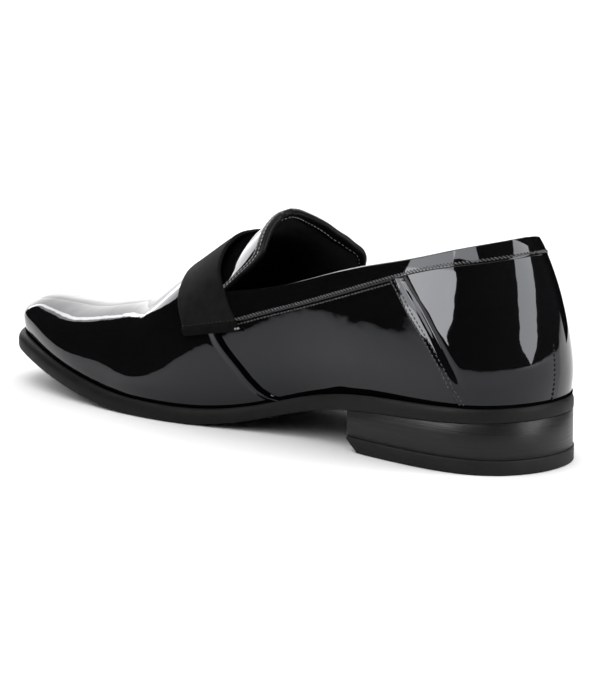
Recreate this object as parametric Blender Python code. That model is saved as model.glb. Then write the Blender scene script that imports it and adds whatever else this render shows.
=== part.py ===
"""Patent leather loafer for the right foot: upper, strap, insole, outsole, heel stack and top lift.

The shoe stands on the floor plane z = 0 with its toe towards -Y and its inner side towards +X.
Every shape is worked out from the last: an outline of the sole in plan, the heights of the sole along
the foot, and a spine over the foot to which the wall of the upper rises from the edge of the sole.
Tables are in millimetres; stations run along the foot from the back of the heel to the tip of the toe.
"""
import bpy
import numpy as np

# Driving dimensions, in millimetres
SOLE_LENGTH = 308.0
TOE_TIP_OFFSET = 6.0
WALL = 2.2
GAP = 0.3
EDGE_ROUND = 0.8
HEEL_BREAST = 87.3
BREAST_HOLLOW = 3.0
LIFT_HEIGHT = 6.2
LIFT_PROUD = 0.3
LIFT_BEVEL_RUN = 7.0
LIFT_BEVEL_HEIGHT = 5.2
INSOLE_THICKNESS = 3.0
STRAP_THICKNESS = 2.2
STRAP_CLEARANCE = 0.4
STACK_INSET = 0.2
MILLIMETRE = 0.001
# Point of the floor under the middle of the shoe, where its frame has the origin
ORIGIN_STATION = 153.85
ORIGIN_OFFSET = -4.57

# Outsole in plan: station, inner half width, outer half width
SOLE_PLAN = (
    (4.0, 17.0, 17.0),
    (16.0, 29.5, 29.5),
    (40.0, 35.0, 35.0),
    (82.0, 32.5, 35.5),
    (115.0, 29.5, 38.5),
    (150.0, 35.5, 45.5),
    (180.0, 42.5, 52.0),
    (207.0, 44.0, 52.0),
    (240.0, 41.0, 44.5),
    (268.0, 35.0, 33.0),
    (290.0, 27.0, 20.5),
    (303.0, 19.0, 8.0),
)
# Sole from the side: station, height of the underside, thickness of the edge, ledge outside the upper
SOLE_PROFILE = (
    (0.0, 22.5, 6.2, 1.6),
    (40.0, 20.4, 6.6, 1.6),
    (82.0, 17.9, 7.0, 1.2),
    (115.0, 12.4, 6.6, 1.0),
    (145.0, 4.4, 6.5, 1.6),
    (172.0, 0.2, 6.9, 2.2),
    (195.0, -0.4, 7.3, 2.4),
    (225.0, 1.0, 7.4, 2.6),
    (250.0, 5.0, 7.7, 2.8),
    (280.0, 10.9, 7.8, 3.2),
    (308.0, 16.2, 7.8, 3.8),
)
# Columns of the wall: share of the way from heel to toe, foot of the column on the inner and on the
# outer side as shares of the sole's edge, station where the column meets the spine
COLUMNS = (
    (0.00, 0.000, 0.000, 52.0),
    (0.15, 0.155, 0.150, 64.0),
    (0.30, 0.310, 0.280, 90.0),
    (0.42, 0.440, 0.377, 117.0),
    (0.52, 0.547, 0.452, 141.0),
    (0.62, 0.638, 0.577, 168.0),
    (0.75, 0.755, 0.735, 212.0),
    (0.88, 0.882, 0.876, 254.0),
    (1.00, 1.000, 1.000, 283.0),
)
# Spine over the foot: station, height, offset to the inner side, squareness of the section
SPINE = (
    (0.0, 116.0, 0.0, 2.3),
    (50.0, 120.0, 0.0, 2.3),
    (90.0, 116.0, 3.0, 2.2),
    (118.0, 107.0, 5.0, 2.2),
    (141.0, 95.8, 6.0, 2.25),
    (160.0, 86.0, 6.5, 2.25),
    (181.0, 73.6, 6.5, 2.2),
    (198.0, 62.6, 6.5, 2.2),
    (212.0, 52.4, 6.5, 2.3),
    (233.0, 45.0, 6.0, 2.4),
    (254.0, 41.3, 5.5, 2.6),
    (275.0, 40.0, 5.0, 3.7),
    (292.0, 39.7, 5.0, 3.7),
    (308.0, 38.9, 5.0, 3.7),
)
# Swell of the wall beyond its foot: share of the way, inner side, outer side
SWELL = (
    (0.00, 2.4, 2.4),
    (0.06, 3.0, 1.2),
    (0.14, 3.0, 2.0),
    (0.25, 3.0, 3.0),
    (0.42, 5.0, 4.0),
    (0.60, 3.5, 4.0),
    (0.80, 2.5, 3.0),
    (1.00, 0.6, 0.6),
)
# Lean of the wall over the foot, at the height of the spine: share of the way, inner side, outer side
LEAN = (
    (0.00, 0.6, 0.6),
    (0.05, 0.0, 2.7),
    (0.12, 0.0, 2.2),
    (0.25, 0.0, 0.0),
    (0.40, 0.0, 0.0),
    (1.00, 0.0, 0.0),
)
# Topline of the quarters: station, height on the inner side, height on the outer side
TOPLINE = (
    (0.0, 96.0, 96.0),
    (14.0, 96.0, 96.0),
    (22.0, 94.4, 93.2),
    (34.0, 91.4, 89.0),
    (49.0, 87.2, 83.8),
    (64.0, 83.4, 79.2),
    (80.0, 79.6, 74.8),
    (105.0, 72.5, 68.5),
    (127.0, 65.8, 64.0),
    (159.0, 60.0, 61.0),
    (200.0, 57.0, 59.0),
)
# Edge of the tongue: how far back it bows between throat and spine, inner and outer side
THROAT_SHARE = 0.52
TONGUE_BOW = (12.0, 1.0)
TONGUE_BOW_SPREAD = 0.07
TONGUE_BOW_FADE = 1.5
THROAT_CORNER_REACH = 0.14
TONGUE_CORNER_REACH = 0.36
# Strap: how far down the wall from the spine, squared so that the band crosses it without a corner,
# station of its back edge, station of its front edge
STRAP = (
    (0.00, 165.5, 191.0),
    (0.12, 164.5, 187.4),
    (0.28, 159.2, 183.4),
    (0.53, 148.3, 175.3),
)

# Edge of the outsole: shares of its thickness between which it stands upright
EDGE_UPRIGHT = (0.3, 0.7)
# Place up the wall of the row that carries the topline on to the toe
TOE_ROW_PLACE = 0.5

# Surface of each piece: material, grey value, roughness
SURFACES = {
    "upper": ("black patent leather", 0.006, 0.06),
    "strap": ("black woven ribbon", 0.012, 0.75),
    "insole": ("black lining", 0.012, 0.6),
    "outsole": ("black sole", 0.016, 0.55),
    "heel_stack": ("black heel stack", 0.020, 0.4),
    "top_lift": ("black rubber", 0.018, 0.6),
}
SHARP_ANGLE = 40.0

# Fineness of the meshes
OUTLINE_SAMPLES = 32
SEARCH_SAMPLES = 400
QUARTER_COLUMNS = 18
VAMP_COLUMNS = 22
WALL_ROWS = 7
TONGUE_ROWS = 9
SOLE_POINTS = 48
BREAST_POINTS = 8
STRAP_ROWS = 14
STRAP_COLUMNS = 5


def smooth_through(rows, column):
    """Natural cubic through one column of a table."""
    knots = np.array([row[0] for row in rows], float)
    values = np.array([row[column] for row in rows], float)
    steps = np.diff(knots)
    count = len(knots)
    matrix = np.eye(count)
    right = np.zeros(count)
    for i in range(1, count - 1):
        matrix[i, i - 1:i + 2] = steps[i - 1], 2 * (steps[i - 1] + steps[i]), steps[i]
        rise_after = (values[i + 1] - values[i]) / steps[i]
        rise_before = (values[i] - values[i - 1]) / steps[i - 1]
        right[i] = 6 * (rise_after - rise_before)
    bend = np.linalg.solve(matrix, right)

    def curve(at):
        at = np.clip(np.asarray(at, float), knots[0], knots[-1])
        i = np.clip(np.searchsorted(knots, at) - 1, 0, count - 2)
        step = steps[i]
        after = at - knots[i]
        before = knots[i + 1] - at
        bent = (bend[i] * before**3 + bend[i + 1] * after**3) / (6 * step)
        start = (values[i] / step - bend[i] * step / 6) * before
        end = (values[i + 1] / step - bend[i + 1] * step / 6) * after
        return bent + start + end
    return curve


def closed_curve(points, samples):
    """Closed cubic through the points, with the same number of samples in each stretch."""
    points = np.asarray(points, float)
    count = len(points)
    steps = np.sqrt(np.linalg.norm(np.roll(points, -1, 0) - points, axis=1))
    matrix = np.zeros((count, count))
    right = np.zeros((count, 2))
    for i in range(count):
        after = (i + 1) % count
        matrix[i, i - 1] += steps[i - 1]
        matrix[i, i] += 2 * (steps[i - 1] + steps[i])
        matrix[i, after] += steps[i]
        rise_after = (points[after] - points[i]) / steps[i]
        rise_before = (points[i] - points[i - 1]) / steps[i - 1]
        right[i] = 6 * (rise_after - rise_before)
    bend = np.linalg.solve(matrix, right)
    runs = []
    for i in range(count):
        after = (i + 1) % count
        step = steps[i]
        t = np.linspace(0, step, samples, endpoint=False)[:, None]
        bent = (bend[i] * (step - t)**3 + bend[after] * t**3) / (6 * step)
        start = (points[i] / step - bend[i] * step / 6) * (step - t)
        end = (points[after] / step - bend[after] * step / 6) * t
        runs.append(bent + start + end)
    return np.vstack(runs)


def along(path, shares):
    """Points at the given shares of a path's length."""
    lengths = np.linalg.norm(np.diff(path, axis=0), axis=1)
    run = np.concatenate([[0], np.cumsum(lengths)])
    run /= run[-1]
    return np.stack([np.interp(shares, run, path[:, k]) for k in range(path.shape[1])], -1)


underside = smooth_through(SOLE_PROFILE, 1)
edge_thickness = smooth_through(SOLE_PROFILE, 2)
ledge = smooth_through(SOLE_PROFILE, 3)
spine_height = smooth_through(SPINE, 1)
spine_offset = smooth_through(SPINE, 2)
squareness = smooth_through(SPINE, 3)


def sole_top(station):
    return underside(station) + edge_thickness(station)


def sole_bottom(station):
    """Underside of the sole, flat where it treads the floor."""
    return np.maximum(underside(station), 0.0)


def sole_sides(inward=0.0):
    """Inner and outer side of the sole's edge as (station, offset), each from heel to toe."""
    inner = [(row[0], row[1]) for row in SOLE_PLAN]
    outer = [(row[0], -row[2]) for row in SOLE_PLAN]
    corners = [(0.0, 0.0)] + inner + [(SOLE_LENGTH, TOE_TIP_OFFSET)] + outer[::-1]
    loop = closed_curve(corners, OUTLINE_SAMPLES)
    tangent = np.roll(loop, -1, 0) - np.roll(loop, 1, 0)
    tangent /= np.linalg.norm(tangent, axis=1)[:, None]
    normal = np.stack([tangent[:, 1], -tangent[:, 0]], 1)
    distance = inward(loop[:, 0]) if callable(inward) else np.full(len(loop), inward)
    loop = loop + normal * distance[:, None]
    tip = OUTLINE_SAMPLES * (len(SOLE_PLAN) + 1)
    return loop[:tip + 1], np.vstack([loop[:1], loop[tip:][::-1]])


class Wall:
    """One side of the last, a surface over the way from heel to toe and the place up the wall."""

    def __init__(self, side):
        self.foot = sole_sides(ledge)[side]
        self.foot_share = smooth_through(COLUMNS, 1 + side)
        self.spine_station = smooth_through(COLUMNS, 3)
        self.swell = smooth_through(SWELL, 1 + side)
        self.lean = smooth_through(LEAN, 1 + side)
        self.topline = smooth_through(TOPLINE, 1 + side)
        self.bow = TONGUE_BOW[side]

    def at(self, way, place):
        """Points (station, offset, height); place 0 is the foot of the wall, 1 the spine."""
        way, place = np.broadcast_arrays(np.asarray(way, float), np.asarray(place, float))
        foot = along(self.foot, np.clip(self.foot_share(way), 0, 1))
        spine = self.spine_station(way)
        head = np.stack([spine, spine_offset(spine)], -1)
        span = head - foot
        width = np.linalg.norm(span, axis=-1)
        power = 2 / squareness(spine)
        turn = place * np.pi / 2
        reach = 1 - np.clip(np.cos(turn), 0, 1)**power
        rise = np.clip(np.sin(turn), 0, 1)**power
        swell = self.swell(way) * swell_shape(rise) - self.lean(way) * rise
        plan = foot + span * (reach - swell / width)[..., None]
        near_throat = np.exp(-((way - THROAT_SHARE) / TONGUE_BOW_SPREAD)**2)
        plan[..., 0] -= self.bow * near_throat * bow_shape(reach)
        base = sole_top(foot[..., 0]) + GAP
        height = base + (spine_height(plan[..., 0]) - base) * rise
        return np.concatenate([plan, height[..., None]], -1)

    def topline_place(self, way):
        """Place up the wall where a column of the quarter meets the topline."""
        places = np.linspace(0.0, 1.0, SEARCH_SAMPLES)
        points = self.at(way, places)
        over = points[:, 2] - self.topline(points[:, 0])
        return float(np.interp(0.0, over, places))

    def way_at(self, station, place):
        """Way from heel to toe at which the wall passes a station, at one place up the wall."""
        ways = np.linspace(0.0, 1.0, SEARCH_SAMPLES)
        return np.interp(station, self.at(ways, place)[:, 0], ways)


def bow_shape(reach):
    """Bow of the tongue's edge: nothing at the throat and the spine, fullest at the tongue's corner."""
    turn = np.clip((reach - THROAT_CORNER_REACH) / (TONGUE_CORNER_REACH - THROAT_CORNER_REACH), 0, 1)
    fade = np.clip((1 - reach) / (1 - TONGUE_CORNER_REACH), 0, None)
    return turn * turn * (3 - 2 * turn) * fade**TONGUE_BOW_FADE


def swell_shape(rise):
    """Swell up the wall: nothing at its foot and its top, and one at a quarter of its height."""
    return rise * (1 - rise)**3 * 256 / 27


def in_frame(points):
    """From (station, offset, height) in millimetres to the shoe's own frame in metres."""
    points = np.asarray(points, float)
    sideways = points[..., 1] - ORIGIN_OFFSET
    lengthways = ORIGIN_STATION - points[..., 0]
    return np.stack([sideways, lengthways, points[..., 2]], -1) * MILLIMETRE


def surface(piece_name):
    """Plain material of one piece."""
    name, grey, roughness = SURFACES[piece_name]
    material = bpy.data.materials.new(name)
    material.use_nodes = True
    shader = material.node_tree.nodes["Principled BSDF"]
    shader.inputs["Base Color"].default_value = (grey, grey, grey, 1.0)
    shader.inputs["Roughness"].default_value = roughness
    shader.inputs["Metallic"].default_value = 0.0
    return material


def add_piece(name, vertices, faces):
    """One named object from vertices in the shoe's frame, with its faces pointing out."""
    mesh = bpy.data.meshes.new(name)
    mesh.from_pydata([tuple(v) for v in vertices], [], faces)
    mesh.validate()
    mesh.materials.append(surface(name))
    mesh.shade_smooth()
    mesh.set_sharp_from_angle(angle=np.radians(SHARP_ANGLE))
    piece = bpy.data.objects.new(name, mesh)
    bpy.context.scene.collection.objects.link(piece)
    return piece


def ring_faces(lower, upper):
    """Quads between two rings of vertex numbers that run anticlockwise seen from above."""
    count = len(lower)
    return [(lower[i], lower[(i + 1) % count], upper[(i + 1) % count], upper[i]) for i in range(count)]


def cap_faces(ring, upward):
    """Quads across a ring made of two sides that face each other, with a triangle at each end."""
    count = len(ring)
    faces = []
    for i in range(count // 2):
        quad = [ring[i], ring[i + 1], ring[-2 - i], ring[-1 - i]]
        corners = list(dict.fromkeys(quad))
        if len(corners) > 2:
            faces.append(tuple(corners) if upward else tuple(corners[::-1]))
    return faces


def stacked_rings(name, rings):
    """Closed solid through rings of points, the first below and the last on top."""
    count = len(rings[0])
    numbers = [list(range(k * count, (k + 1) * count)) for k in range(len(rings))]
    faces = cap_faces(numbers[0], upward=False) + cap_faces(numbers[-1], upward=True)
    for lower, upper in zip(numbers[:-1], numbers[1:]):
        faces += ring_faces(lower, upper)
    return add_piece(name, in_frame(np.vstack(rings)), faces)


def sole_ring(inward, height):
    """Ring round the whole sole: up the outer side from the heel, then back down the inner side."""
    inner, outer = sole_sides(inward)
    shares = np.linspace(0, 1, SOLE_POINTS + 1)
    outer = along(outer, shares)
    inner = along(inner, shares)
    plan = np.vstack([outer, inner[-2:0:-1]])
    return np.column_stack([plan, height(plan[:, 0])])


def build_outsole():
    """Flat sole with a rounded edge, an arch and a toe that springs up from the floor."""
    def part_way(share):
        return lambda station: sole_bottom(station) * (1 - share) + sole_top(station) * share
    rings = [
        sole_ring(EDGE_ROUND, part_way(0.0)),
        sole_ring(0.0, part_way(EDGE_UPRIGHT[0])),
        sole_ring(0.0, part_way(EDGE_UPRIGHT[1])),
        sole_ring(EDGE_ROUND, part_way(1.0)),
    ]
    return stacked_rings("outsole", rings)


def build_insole():
    """Board inside the foot of the upper, lying on the outsole."""
    def inside(station):
        return ledge(station) + WALL + 2 * GAP
    rings = [
        sole_ring(inside, lambda station: sole_top(station) + GAP),
        sole_ring(inside, lambda station: sole_top(station) + GAP + INSOLE_THICKNESS),
    ]
    return stacked_rings("insole", rings)


def heel_ring(inward, breast, height):
    """Ring of the heel: the outer side up to the breast, the hollow breast, the inner side back."""
    inner, outer = sole_sides(inward)
    shares = np.linspace(0, 1, SOLE_POINTS // 2 + 1)
    sides = []
    for side in (outer, inner):
        cut = np.interp(breast, side[:, 0], side[:, 1])
        kept = side[side[:, 0] < breast]
        sides.append(along(np.vstack([kept, (breast, cut)]), shares))
    outer, inner = sides
    across = np.linspace(0, 1, BREAST_POINTS + 1)[1:-1]
    hollow = breast - BREAST_HOLLOW * np.sin(np.pi * across)
    front = np.column_stack([hollow, outer[-1, 1] + (inner[-1, 1] - outer[-1, 1]) * across])
    plan = np.vstack([outer, front, inner[:0:-1]])
    return np.column_stack([plan, height(plan[:, 0])])


def level(height):
    """The same height at every station."""
    return lambda station: np.full(station.shape, height)


def build_heel_stack():
    """Block under the seat of the sole, as high as the sole stands above the top lift."""
    rings = [
        heel_ring(STACK_INSET, HEEL_BREAST, level(LIFT_HEIGHT)),
        heel_ring(STACK_INSET, HEEL_BREAST, lambda station: sole_bottom(station) - GAP),
    ]
    return stacked_rings("heel_stack", rings)


def build_top_lift():
    """Wearing layer under the heel, flat on the floor, its front edge bevelled."""
    rings = [
        heel_ring(-LIFT_PROUD, HEEL_BREAST - LIFT_BEVEL_RUN, level(0.0)),
        heel_ring(-LIFT_PROUD, HEEL_BREAST, level(LIFT_BEVEL_HEIGHT)),
        heel_ring(-LIFT_PROUD, HEEL_BREAST, level(LIFT_HEIGHT - GAP)),
    ]
    return stacked_rings("top_lift", rings)


def thicken(piece, thickness, outward):
    """Give a surface its wall, with rims along its open edges."""
    solidify = piece.modifiers.new("wall", "SOLIDIFY")
    solidify.thickness = thickness * MILLIMETRE
    solidify.offset = 1.0 if outward else -1.0
    solidify.use_even_offset = True
    solidify.use_quality_normals = True
    return piece


def wall_places(wall, way):
    """Places up one column: rows to the topline and, in front of the throat, on to the spine."""
    if way <= THROAT_SHARE:
        top = wall.topline_place(way)
    else:
        past = (way - THROAT_SHARE) / (1 - THROAT_SHARE)
        top = wall.topline_place(THROAT_SHARE) * (1 - past) + TOE_ROW_PLACE * past
    low = top * np.linspace(0, 1, WALL_ROWS + 1)
    if way < THROAT_SHARE:
        return low
    high = np.linspace(top, 1, TONGUE_ROWS + 1)
    return np.concatenate([low, high[1:]])


def build_upper():
    """Quarters, vamp and tongue as one wall, open at collar and throat and underneath."""
    quarter = np.linspace(0, THROAT_SHARE, QUARTER_COLUMNS + 1)
    vamp = np.linspace(THROAT_SHARE, 1, VAMP_COLUMNS + 1)
    ways = np.concatenate([quarter, vamp[1:]])
    last = len(ways) - 1
    spine_row = WALL_ROWS + TONGUE_ROWS
    vertices = []
    number = {}

    def vertex(side, column, row, point=None):
        shared = column in (0, last) or row == spine_row
        key = (0 if shared else side, column, row)
        if point is not None and key not in number:
            number[key] = len(vertices)
            vertices.append(point)
        return number[key]

    faces = []
    for side in (0, 1):
        wall = Wall(side)
        heights = []
        for column, way in enumerate(ways):
            points = wall.at(way, wall_places(wall, way))
            heights.append(len(points))
            for row, point in enumerate(points):
                vertex(side, column, row, point)
        for column in range(last):
            for row in range(min(heights[column], heights[column + 1]) - 1):
                quad = [
                    vertex(side, column, row),
                    vertex(side, column + 1, row),
                    vertex(side, column + 1, row + 1),
                    vertex(side, column, row + 1),
                ]
                faces.append(tuple(quad[::-1] if side == 0 else quad))
    return thicken(add_piece("upper", in_frame(vertices), faces), WALL, outward=False)


def build_strap():
    """Band laid over the instep, following the upper from the inner to the outer side."""
    back = smooth_through(STRAP, 1)
    front = smooth_through(STRAP, 2)
    places = np.linspace(1 - np.sqrt(STRAP[-1][0]), 1, STRAP_ROWS + 1)
    rows = []
    for side, order in ((0, places), (1, places[-2::-1])):
        wall = Wall(side)
        for place in order:
            drop = (1 - place)**2
            stations = np.linspace(back(drop), front(drop), STRAP_COLUMNS + 1)
            rows.append(wall.at(wall.way_at(stations, place), place))
    grid = in_frame(rows)
    along_foot = np.gradient(grid, axis=1)
    across_foot = np.gradient(grid, axis=0)
    normal = np.cross(across_foot, along_foot)
    normal /= np.linalg.norm(normal, axis=2)[..., None]
    normal *= np.sign(normal[len(rows) // 2, 0, 2])
    grid = grid + normal * STRAP_CLEARANCE * MILLIMETRE
    width = STRAP_COLUMNS + 1
    faces = []
    for row in range(len(rows) - 1):
        for column in range(STRAP_COLUMNS):
            corner = row * width + column
            faces.append((corner, corner + width, corner + width + 1, corner + 1))
    return thicken(add_piece("strap", grid.reshape(-1, 3), faces), STRAP_THICKNESS, outward=True)


def main():
    for item in list(bpy.data.objects):
        bpy.data.objects.remove(item, do_unlink=True)
    build_outsole()
    build_insole()
    build_heel_stack()
    build_top_lift()
    build_upper()
    build_strap()


main()
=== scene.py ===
# %% [markdown]
# # A patent leather loafer
# This lesson dresses a packed shoe for a picture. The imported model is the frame: it gives the size and the
# place of every piece. Each step makes one piece or one finish of the shoe and says why it is made so.

import bpy
import numpy as np
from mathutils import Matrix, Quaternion, Vector


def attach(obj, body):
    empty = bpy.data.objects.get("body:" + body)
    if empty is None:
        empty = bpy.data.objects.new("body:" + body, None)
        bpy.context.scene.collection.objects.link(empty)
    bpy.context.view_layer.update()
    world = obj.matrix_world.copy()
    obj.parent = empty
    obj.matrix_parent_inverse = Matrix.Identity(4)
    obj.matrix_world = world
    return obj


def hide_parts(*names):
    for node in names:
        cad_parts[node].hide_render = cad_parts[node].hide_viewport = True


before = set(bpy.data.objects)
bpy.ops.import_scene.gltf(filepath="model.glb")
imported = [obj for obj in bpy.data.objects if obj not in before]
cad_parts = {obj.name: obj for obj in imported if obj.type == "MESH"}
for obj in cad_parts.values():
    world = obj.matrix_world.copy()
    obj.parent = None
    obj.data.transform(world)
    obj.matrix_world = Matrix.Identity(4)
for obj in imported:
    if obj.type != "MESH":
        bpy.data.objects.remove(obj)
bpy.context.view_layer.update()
scene = bpy.context.scene
MILLIMETRE = 0.001
print("nodes:", sorted(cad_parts))

# %% [markdown]
# ## The camera
# The picture was taken with a long lens from behind the inner side of the foot, a little above it. A long
# lens far away keeps the shoe's lines nearly parallel. The camera is made first, so that every later render
# can be laid beside the photograph.

# %% Camera
CAMERA_AZIMUTH = 132.0
CAMERA_ELEVATION = 11.3
CAMERA_DISTANCE = 1.5
CAMERA_LENS = 176.2
CAMERA_TARGET = Vector((0.00622, 0.01277, 0.0330))

azimuth = np.radians(CAMERA_AZIMUTH)
elevation = np.radians(CAMERA_ELEVATION)
towards_camera = Vector((
    np.sin(azimuth) * np.cos(elevation),
    -np.cos(azimuth) * np.cos(elevation),
    np.sin(elevation),
))
camera_data = bpy.data.cameras.new("camera")
camera_data.lens = CAMERA_LENS
camera_data.sensor_width = 36.0
camera = bpy.data.objects.new("camera", camera_data)
camera.location = CAMERA_TARGET + towards_camera * CAMERA_DISTANCE
camera.rotation_euler = (-towards_camera).to_track_quat("-Z", "Y").to_euler()
scene.collection.objects.link(camera)
scene.camera = camera
print("camera at", [round(v, 3) for v in camera.location])

# %% [markdown]
# ## The last
# A shoemaker stretches the leather over a last. Here the last is a set of short tables in millimetres, and
# a cubic curve runs through each column. Stations run along the foot from the back of the heel to the toe.
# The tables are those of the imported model, so the finer pieces lie where its solids are. Only the bow of
# the tongue's outer side and the strap differ, and soft waves and dips of the leather are added here.

# %% Tables of the last
SOLE_LENGTH = 308.0
TOE_TIP_OFFSET = 6.0
ORIGIN_STATION = 153.85
ORIGIN_OFFSET = -4.57
GAP = 0.3
# Outsole in plan: station, inner half width, outer half width
SOLE_PLAN = (
    (4.0, 17.0, 17.0),
    (16.0, 29.5, 29.5),
    (40.0, 35.0, 35.0),
    (82.0, 32.5, 35.5),
    (115.0, 29.5, 38.5),
    (150.0, 35.5, 45.5),
    (180.0, 42.5, 52.0),
    (207.0, 44.0, 52.0),
    (240.0, 41.0, 44.5),
    (268.0, 35.0, 33.0),
    (290.0, 27.0, 20.5),
    (303.0, 19.0, 8.0),
)
# Sole from the side: station, height of the underside, thickness of the edge, ledge outside the upper
SOLE_PROFILE = (
    (0.0, 22.5, 6.2, 1.6),
    (40.0, 20.4, 6.6, 1.6),
    (82.0, 17.9, 7.0, 1.2),
    (115.0, 12.4, 6.6, 1.0),
    (145.0, 4.4, 6.5, 1.6),
    (172.0, 0.2, 6.9, 2.2),
    (195.0, -0.4, 7.3, 2.4),
    (225.0, 1.0, 7.4, 2.6),
    (250.0, 5.0, 7.7, 2.8),
    (280.0, 10.9, 7.8, 3.2),
    (308.0, 16.2, 7.8, 3.8),
)
# Columns of the wall: share of the way from heel to toe, foot of the column on the inner and on the
# outer side as shares of the sole's edge, station where the column meets the spine
COLUMNS = (
    (0.00, 0.000, 0.000, 52.0),
    (0.15, 0.155, 0.150, 64.0),
    (0.30, 0.310, 0.280, 90.0),
    (0.42, 0.440, 0.377, 117.0),
    (0.52, 0.547, 0.452, 141.0),
    (0.62, 0.638, 0.577, 168.0),
    (0.75, 0.755, 0.735, 212.0),
    (0.88, 0.882, 0.876, 254.0),
    (1.00, 1.000, 1.000, 283.0),
)
# Spine over the foot: station, height, offset to the inner side, squareness of the section
SPINE = (
    (0.0, 116.0, 0.0, 2.3),
    (50.0, 120.0, 0.0, 2.3),
    (90.0, 116.0, 3.0, 2.2),
    (118.0, 107.0, 5.0, 2.2),
    (141.0, 95.8, 6.0, 2.25),
    (160.0, 86.0, 6.5, 2.25),
    (181.0, 73.6, 6.5, 2.2),
    (198.0, 62.6, 6.5, 2.2),
    (212.0, 52.4, 6.5, 2.3),
    (233.0, 45.0, 6.0, 2.4),
    (254.0, 41.3, 5.5, 2.6),
    (275.0, 40.0, 5.0, 3.7),
    (292.0, 39.7, 5.0, 3.7),
    (308.0, 38.9, 5.0, 3.7),
)
# Swell of the wall beyond its foot: share of the way, inner side, outer side
SWELL = (
    (0.00, 2.4, 2.4),
    (0.06, 3.0, 1.2),
    (0.14, 3.0, 2.0),
    (0.25, 3.0, 3.0),
    (0.42, 5.0, 4.0),
    (0.60, 3.5, 4.0),
    (0.80, 2.5, 3.0),
    (1.00, 0.6, 0.6),
)
# Lean of the wall over the foot, at the height of the spine: share of the way, inner side, outer side
LEAN = (
    (0.00, 0.6, 0.6),
    (0.05, 0.0, 2.7),
    (0.12, 0.0, 2.2),
    (0.25, 0.0, 0.0),
    (0.40, 0.0, 0.0),
    (1.00, 0.0, 0.0),
)
# Topline of the quarters: station, height on the inner side, height on the outer side
TOPLINE = (
    (0.0, 96.0, 96.0),
    (14.0, 96.0, 96.0),
    (22.0, 94.4, 93.2),
    (34.0, 91.4, 89.0),
    (49.0, 87.2, 83.8),
    (64.0, 83.4, 79.2),
    (80.0, 79.6, 74.8),
    (105.0, 72.5, 68.5),
    (127.0, 65.8, 64.0),
    (159.0, 60.0, 61.0),
    (200.0, 57.0, 59.0),
)
# Edge of the tongue: how far back it bows between throat and spine, inner and outer side
THROAT = 0.52
TONGUE_BOW = (12.0, 9.5)
TONGUE_BOW_SPREAD = 0.07
TONGUE_BOW_FADE = 1.5
THROAT_CORNER_REACH = 0.14
TONGUE_CORNER_REACH = 0.36
TOE_ROW_PLACE = 0.5
OUTLINE_SAMPLES = 128
SEARCH_SAMPLES = 600
print("stations of the spine:", len(SPINE))

# %% Curves through the tables
def smooth_through(rows, column):
    """Natural cubic through one column of a table."""
    knots = np.array([row[0] for row in rows], float)
    values = np.array([row[column] for row in rows], float)
    steps = np.diff(knots)
    count = len(knots)
    matrix = np.eye(count)
    right = np.zeros(count)
    for i in range(1, count - 1):
        matrix[i, i - 1:i + 2] = steps[i - 1], 2 * (steps[i - 1] + steps[i]), steps[i]
        rise_after = (values[i + 1] - values[i]) / steps[i]
        rise_before = (values[i] - values[i - 1]) / steps[i - 1]
        right[i] = 6 * (rise_after - rise_before)
    bend = np.linalg.solve(matrix, right)

    def curve(at):
        at = np.clip(np.asarray(at, float), knots[0], knots[-1])
        i = np.clip(np.searchsorted(knots, at) - 1, 0, count - 2)
        step = steps[i]
        after = at - knots[i]
        before = knots[i + 1] - at
        bent = (bend[i] * before**3 + bend[i + 1] * after**3) / (6 * step)
        start = (values[i] / step - bend[i] * step / 6) * before
        end = (values[i + 1] / step - bend[i + 1] * step / 6) * after
        return bent + start + end
    return curve


def closed_curve(points, samples):
    """Closed cubic through the points, with the same number of samples in each stretch."""
    points = np.asarray(points, float)
    count = len(points)
    steps = np.sqrt(np.linalg.norm(np.roll(points, -1, 0) - points, axis=1))
    matrix = np.zeros((count, count))
    right = np.zeros((count, 2))
    for i in range(count):
        after = (i + 1) % count
        matrix[i, i - 1] += steps[i - 1]
        matrix[i, i] += 2 * (steps[i - 1] + steps[i])
        matrix[i, after] += steps[i]
        rise_after = (points[after] - points[i]) / steps[i]
        rise_before = (points[i] - points[i - 1]) / steps[i - 1]
        right[i] = 6 * (rise_after - rise_before)
    bend = np.linalg.solve(matrix, right)
    runs = []
    for i in range(count):
        after = (i + 1) % count
        step = steps[i]
        t = np.linspace(0, step, samples, endpoint=False)[:, None]
        bent = (bend[i] * (step - t)**3 + bend[after] * t**3) / (6 * step)
        start = (points[i] / step - bend[i] * step / 6) * (step - t)
        end = (points[after] / step - bend[after] * step / 6) * t
        runs.append(bent + start + end)
    return np.vstack(runs)


def run_of(path):
    """Length of a path up to each of its points."""
    lengths = np.linalg.norm(np.diff(path, axis=0), axis=1)
    return np.concatenate([[0], np.cumsum(lengths)])


def along(path, shares):
    """Points at the given shares of a path's length."""
    run = run_of(path)
    run /= run[-1]
    return np.stack([np.interp(shares, run, path[:, k]) for k in range(path.shape[1])], -1)


def ease(value, start, end):
    """Smooth step from 0 at start to 1 at end."""
    t = np.clip((np.asarray(value, float) - start) / (end - start), 0, 1)
    return t * t * (3 - 2 * t)


def quarter_round(share):
    """Quarter circle from 0 at a rounded edge to 1 where the flat begins."""
    return np.sqrt(1 - (1 - np.clip(share, 0, 1))**2)


def both_sides(half):
    """Ways of both sides in one row, inner side first, from the ways of one side."""
    return np.concatenate([half, -half[-2::-1]])


underside = smooth_through(SOLE_PROFILE, 1)
edge_thickness = smooth_through(SOLE_PROFILE, 2)
ledge = smooth_through(SOLE_PROFILE, 3)
spine_height = smooth_through(SPINE, 1)
spine_offset = smooth_through(SPINE, 2)
squareness = smooth_through(SPINE, 3)


def sole_top(station):
    return underside(station) + edge_thickness(station)


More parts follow.
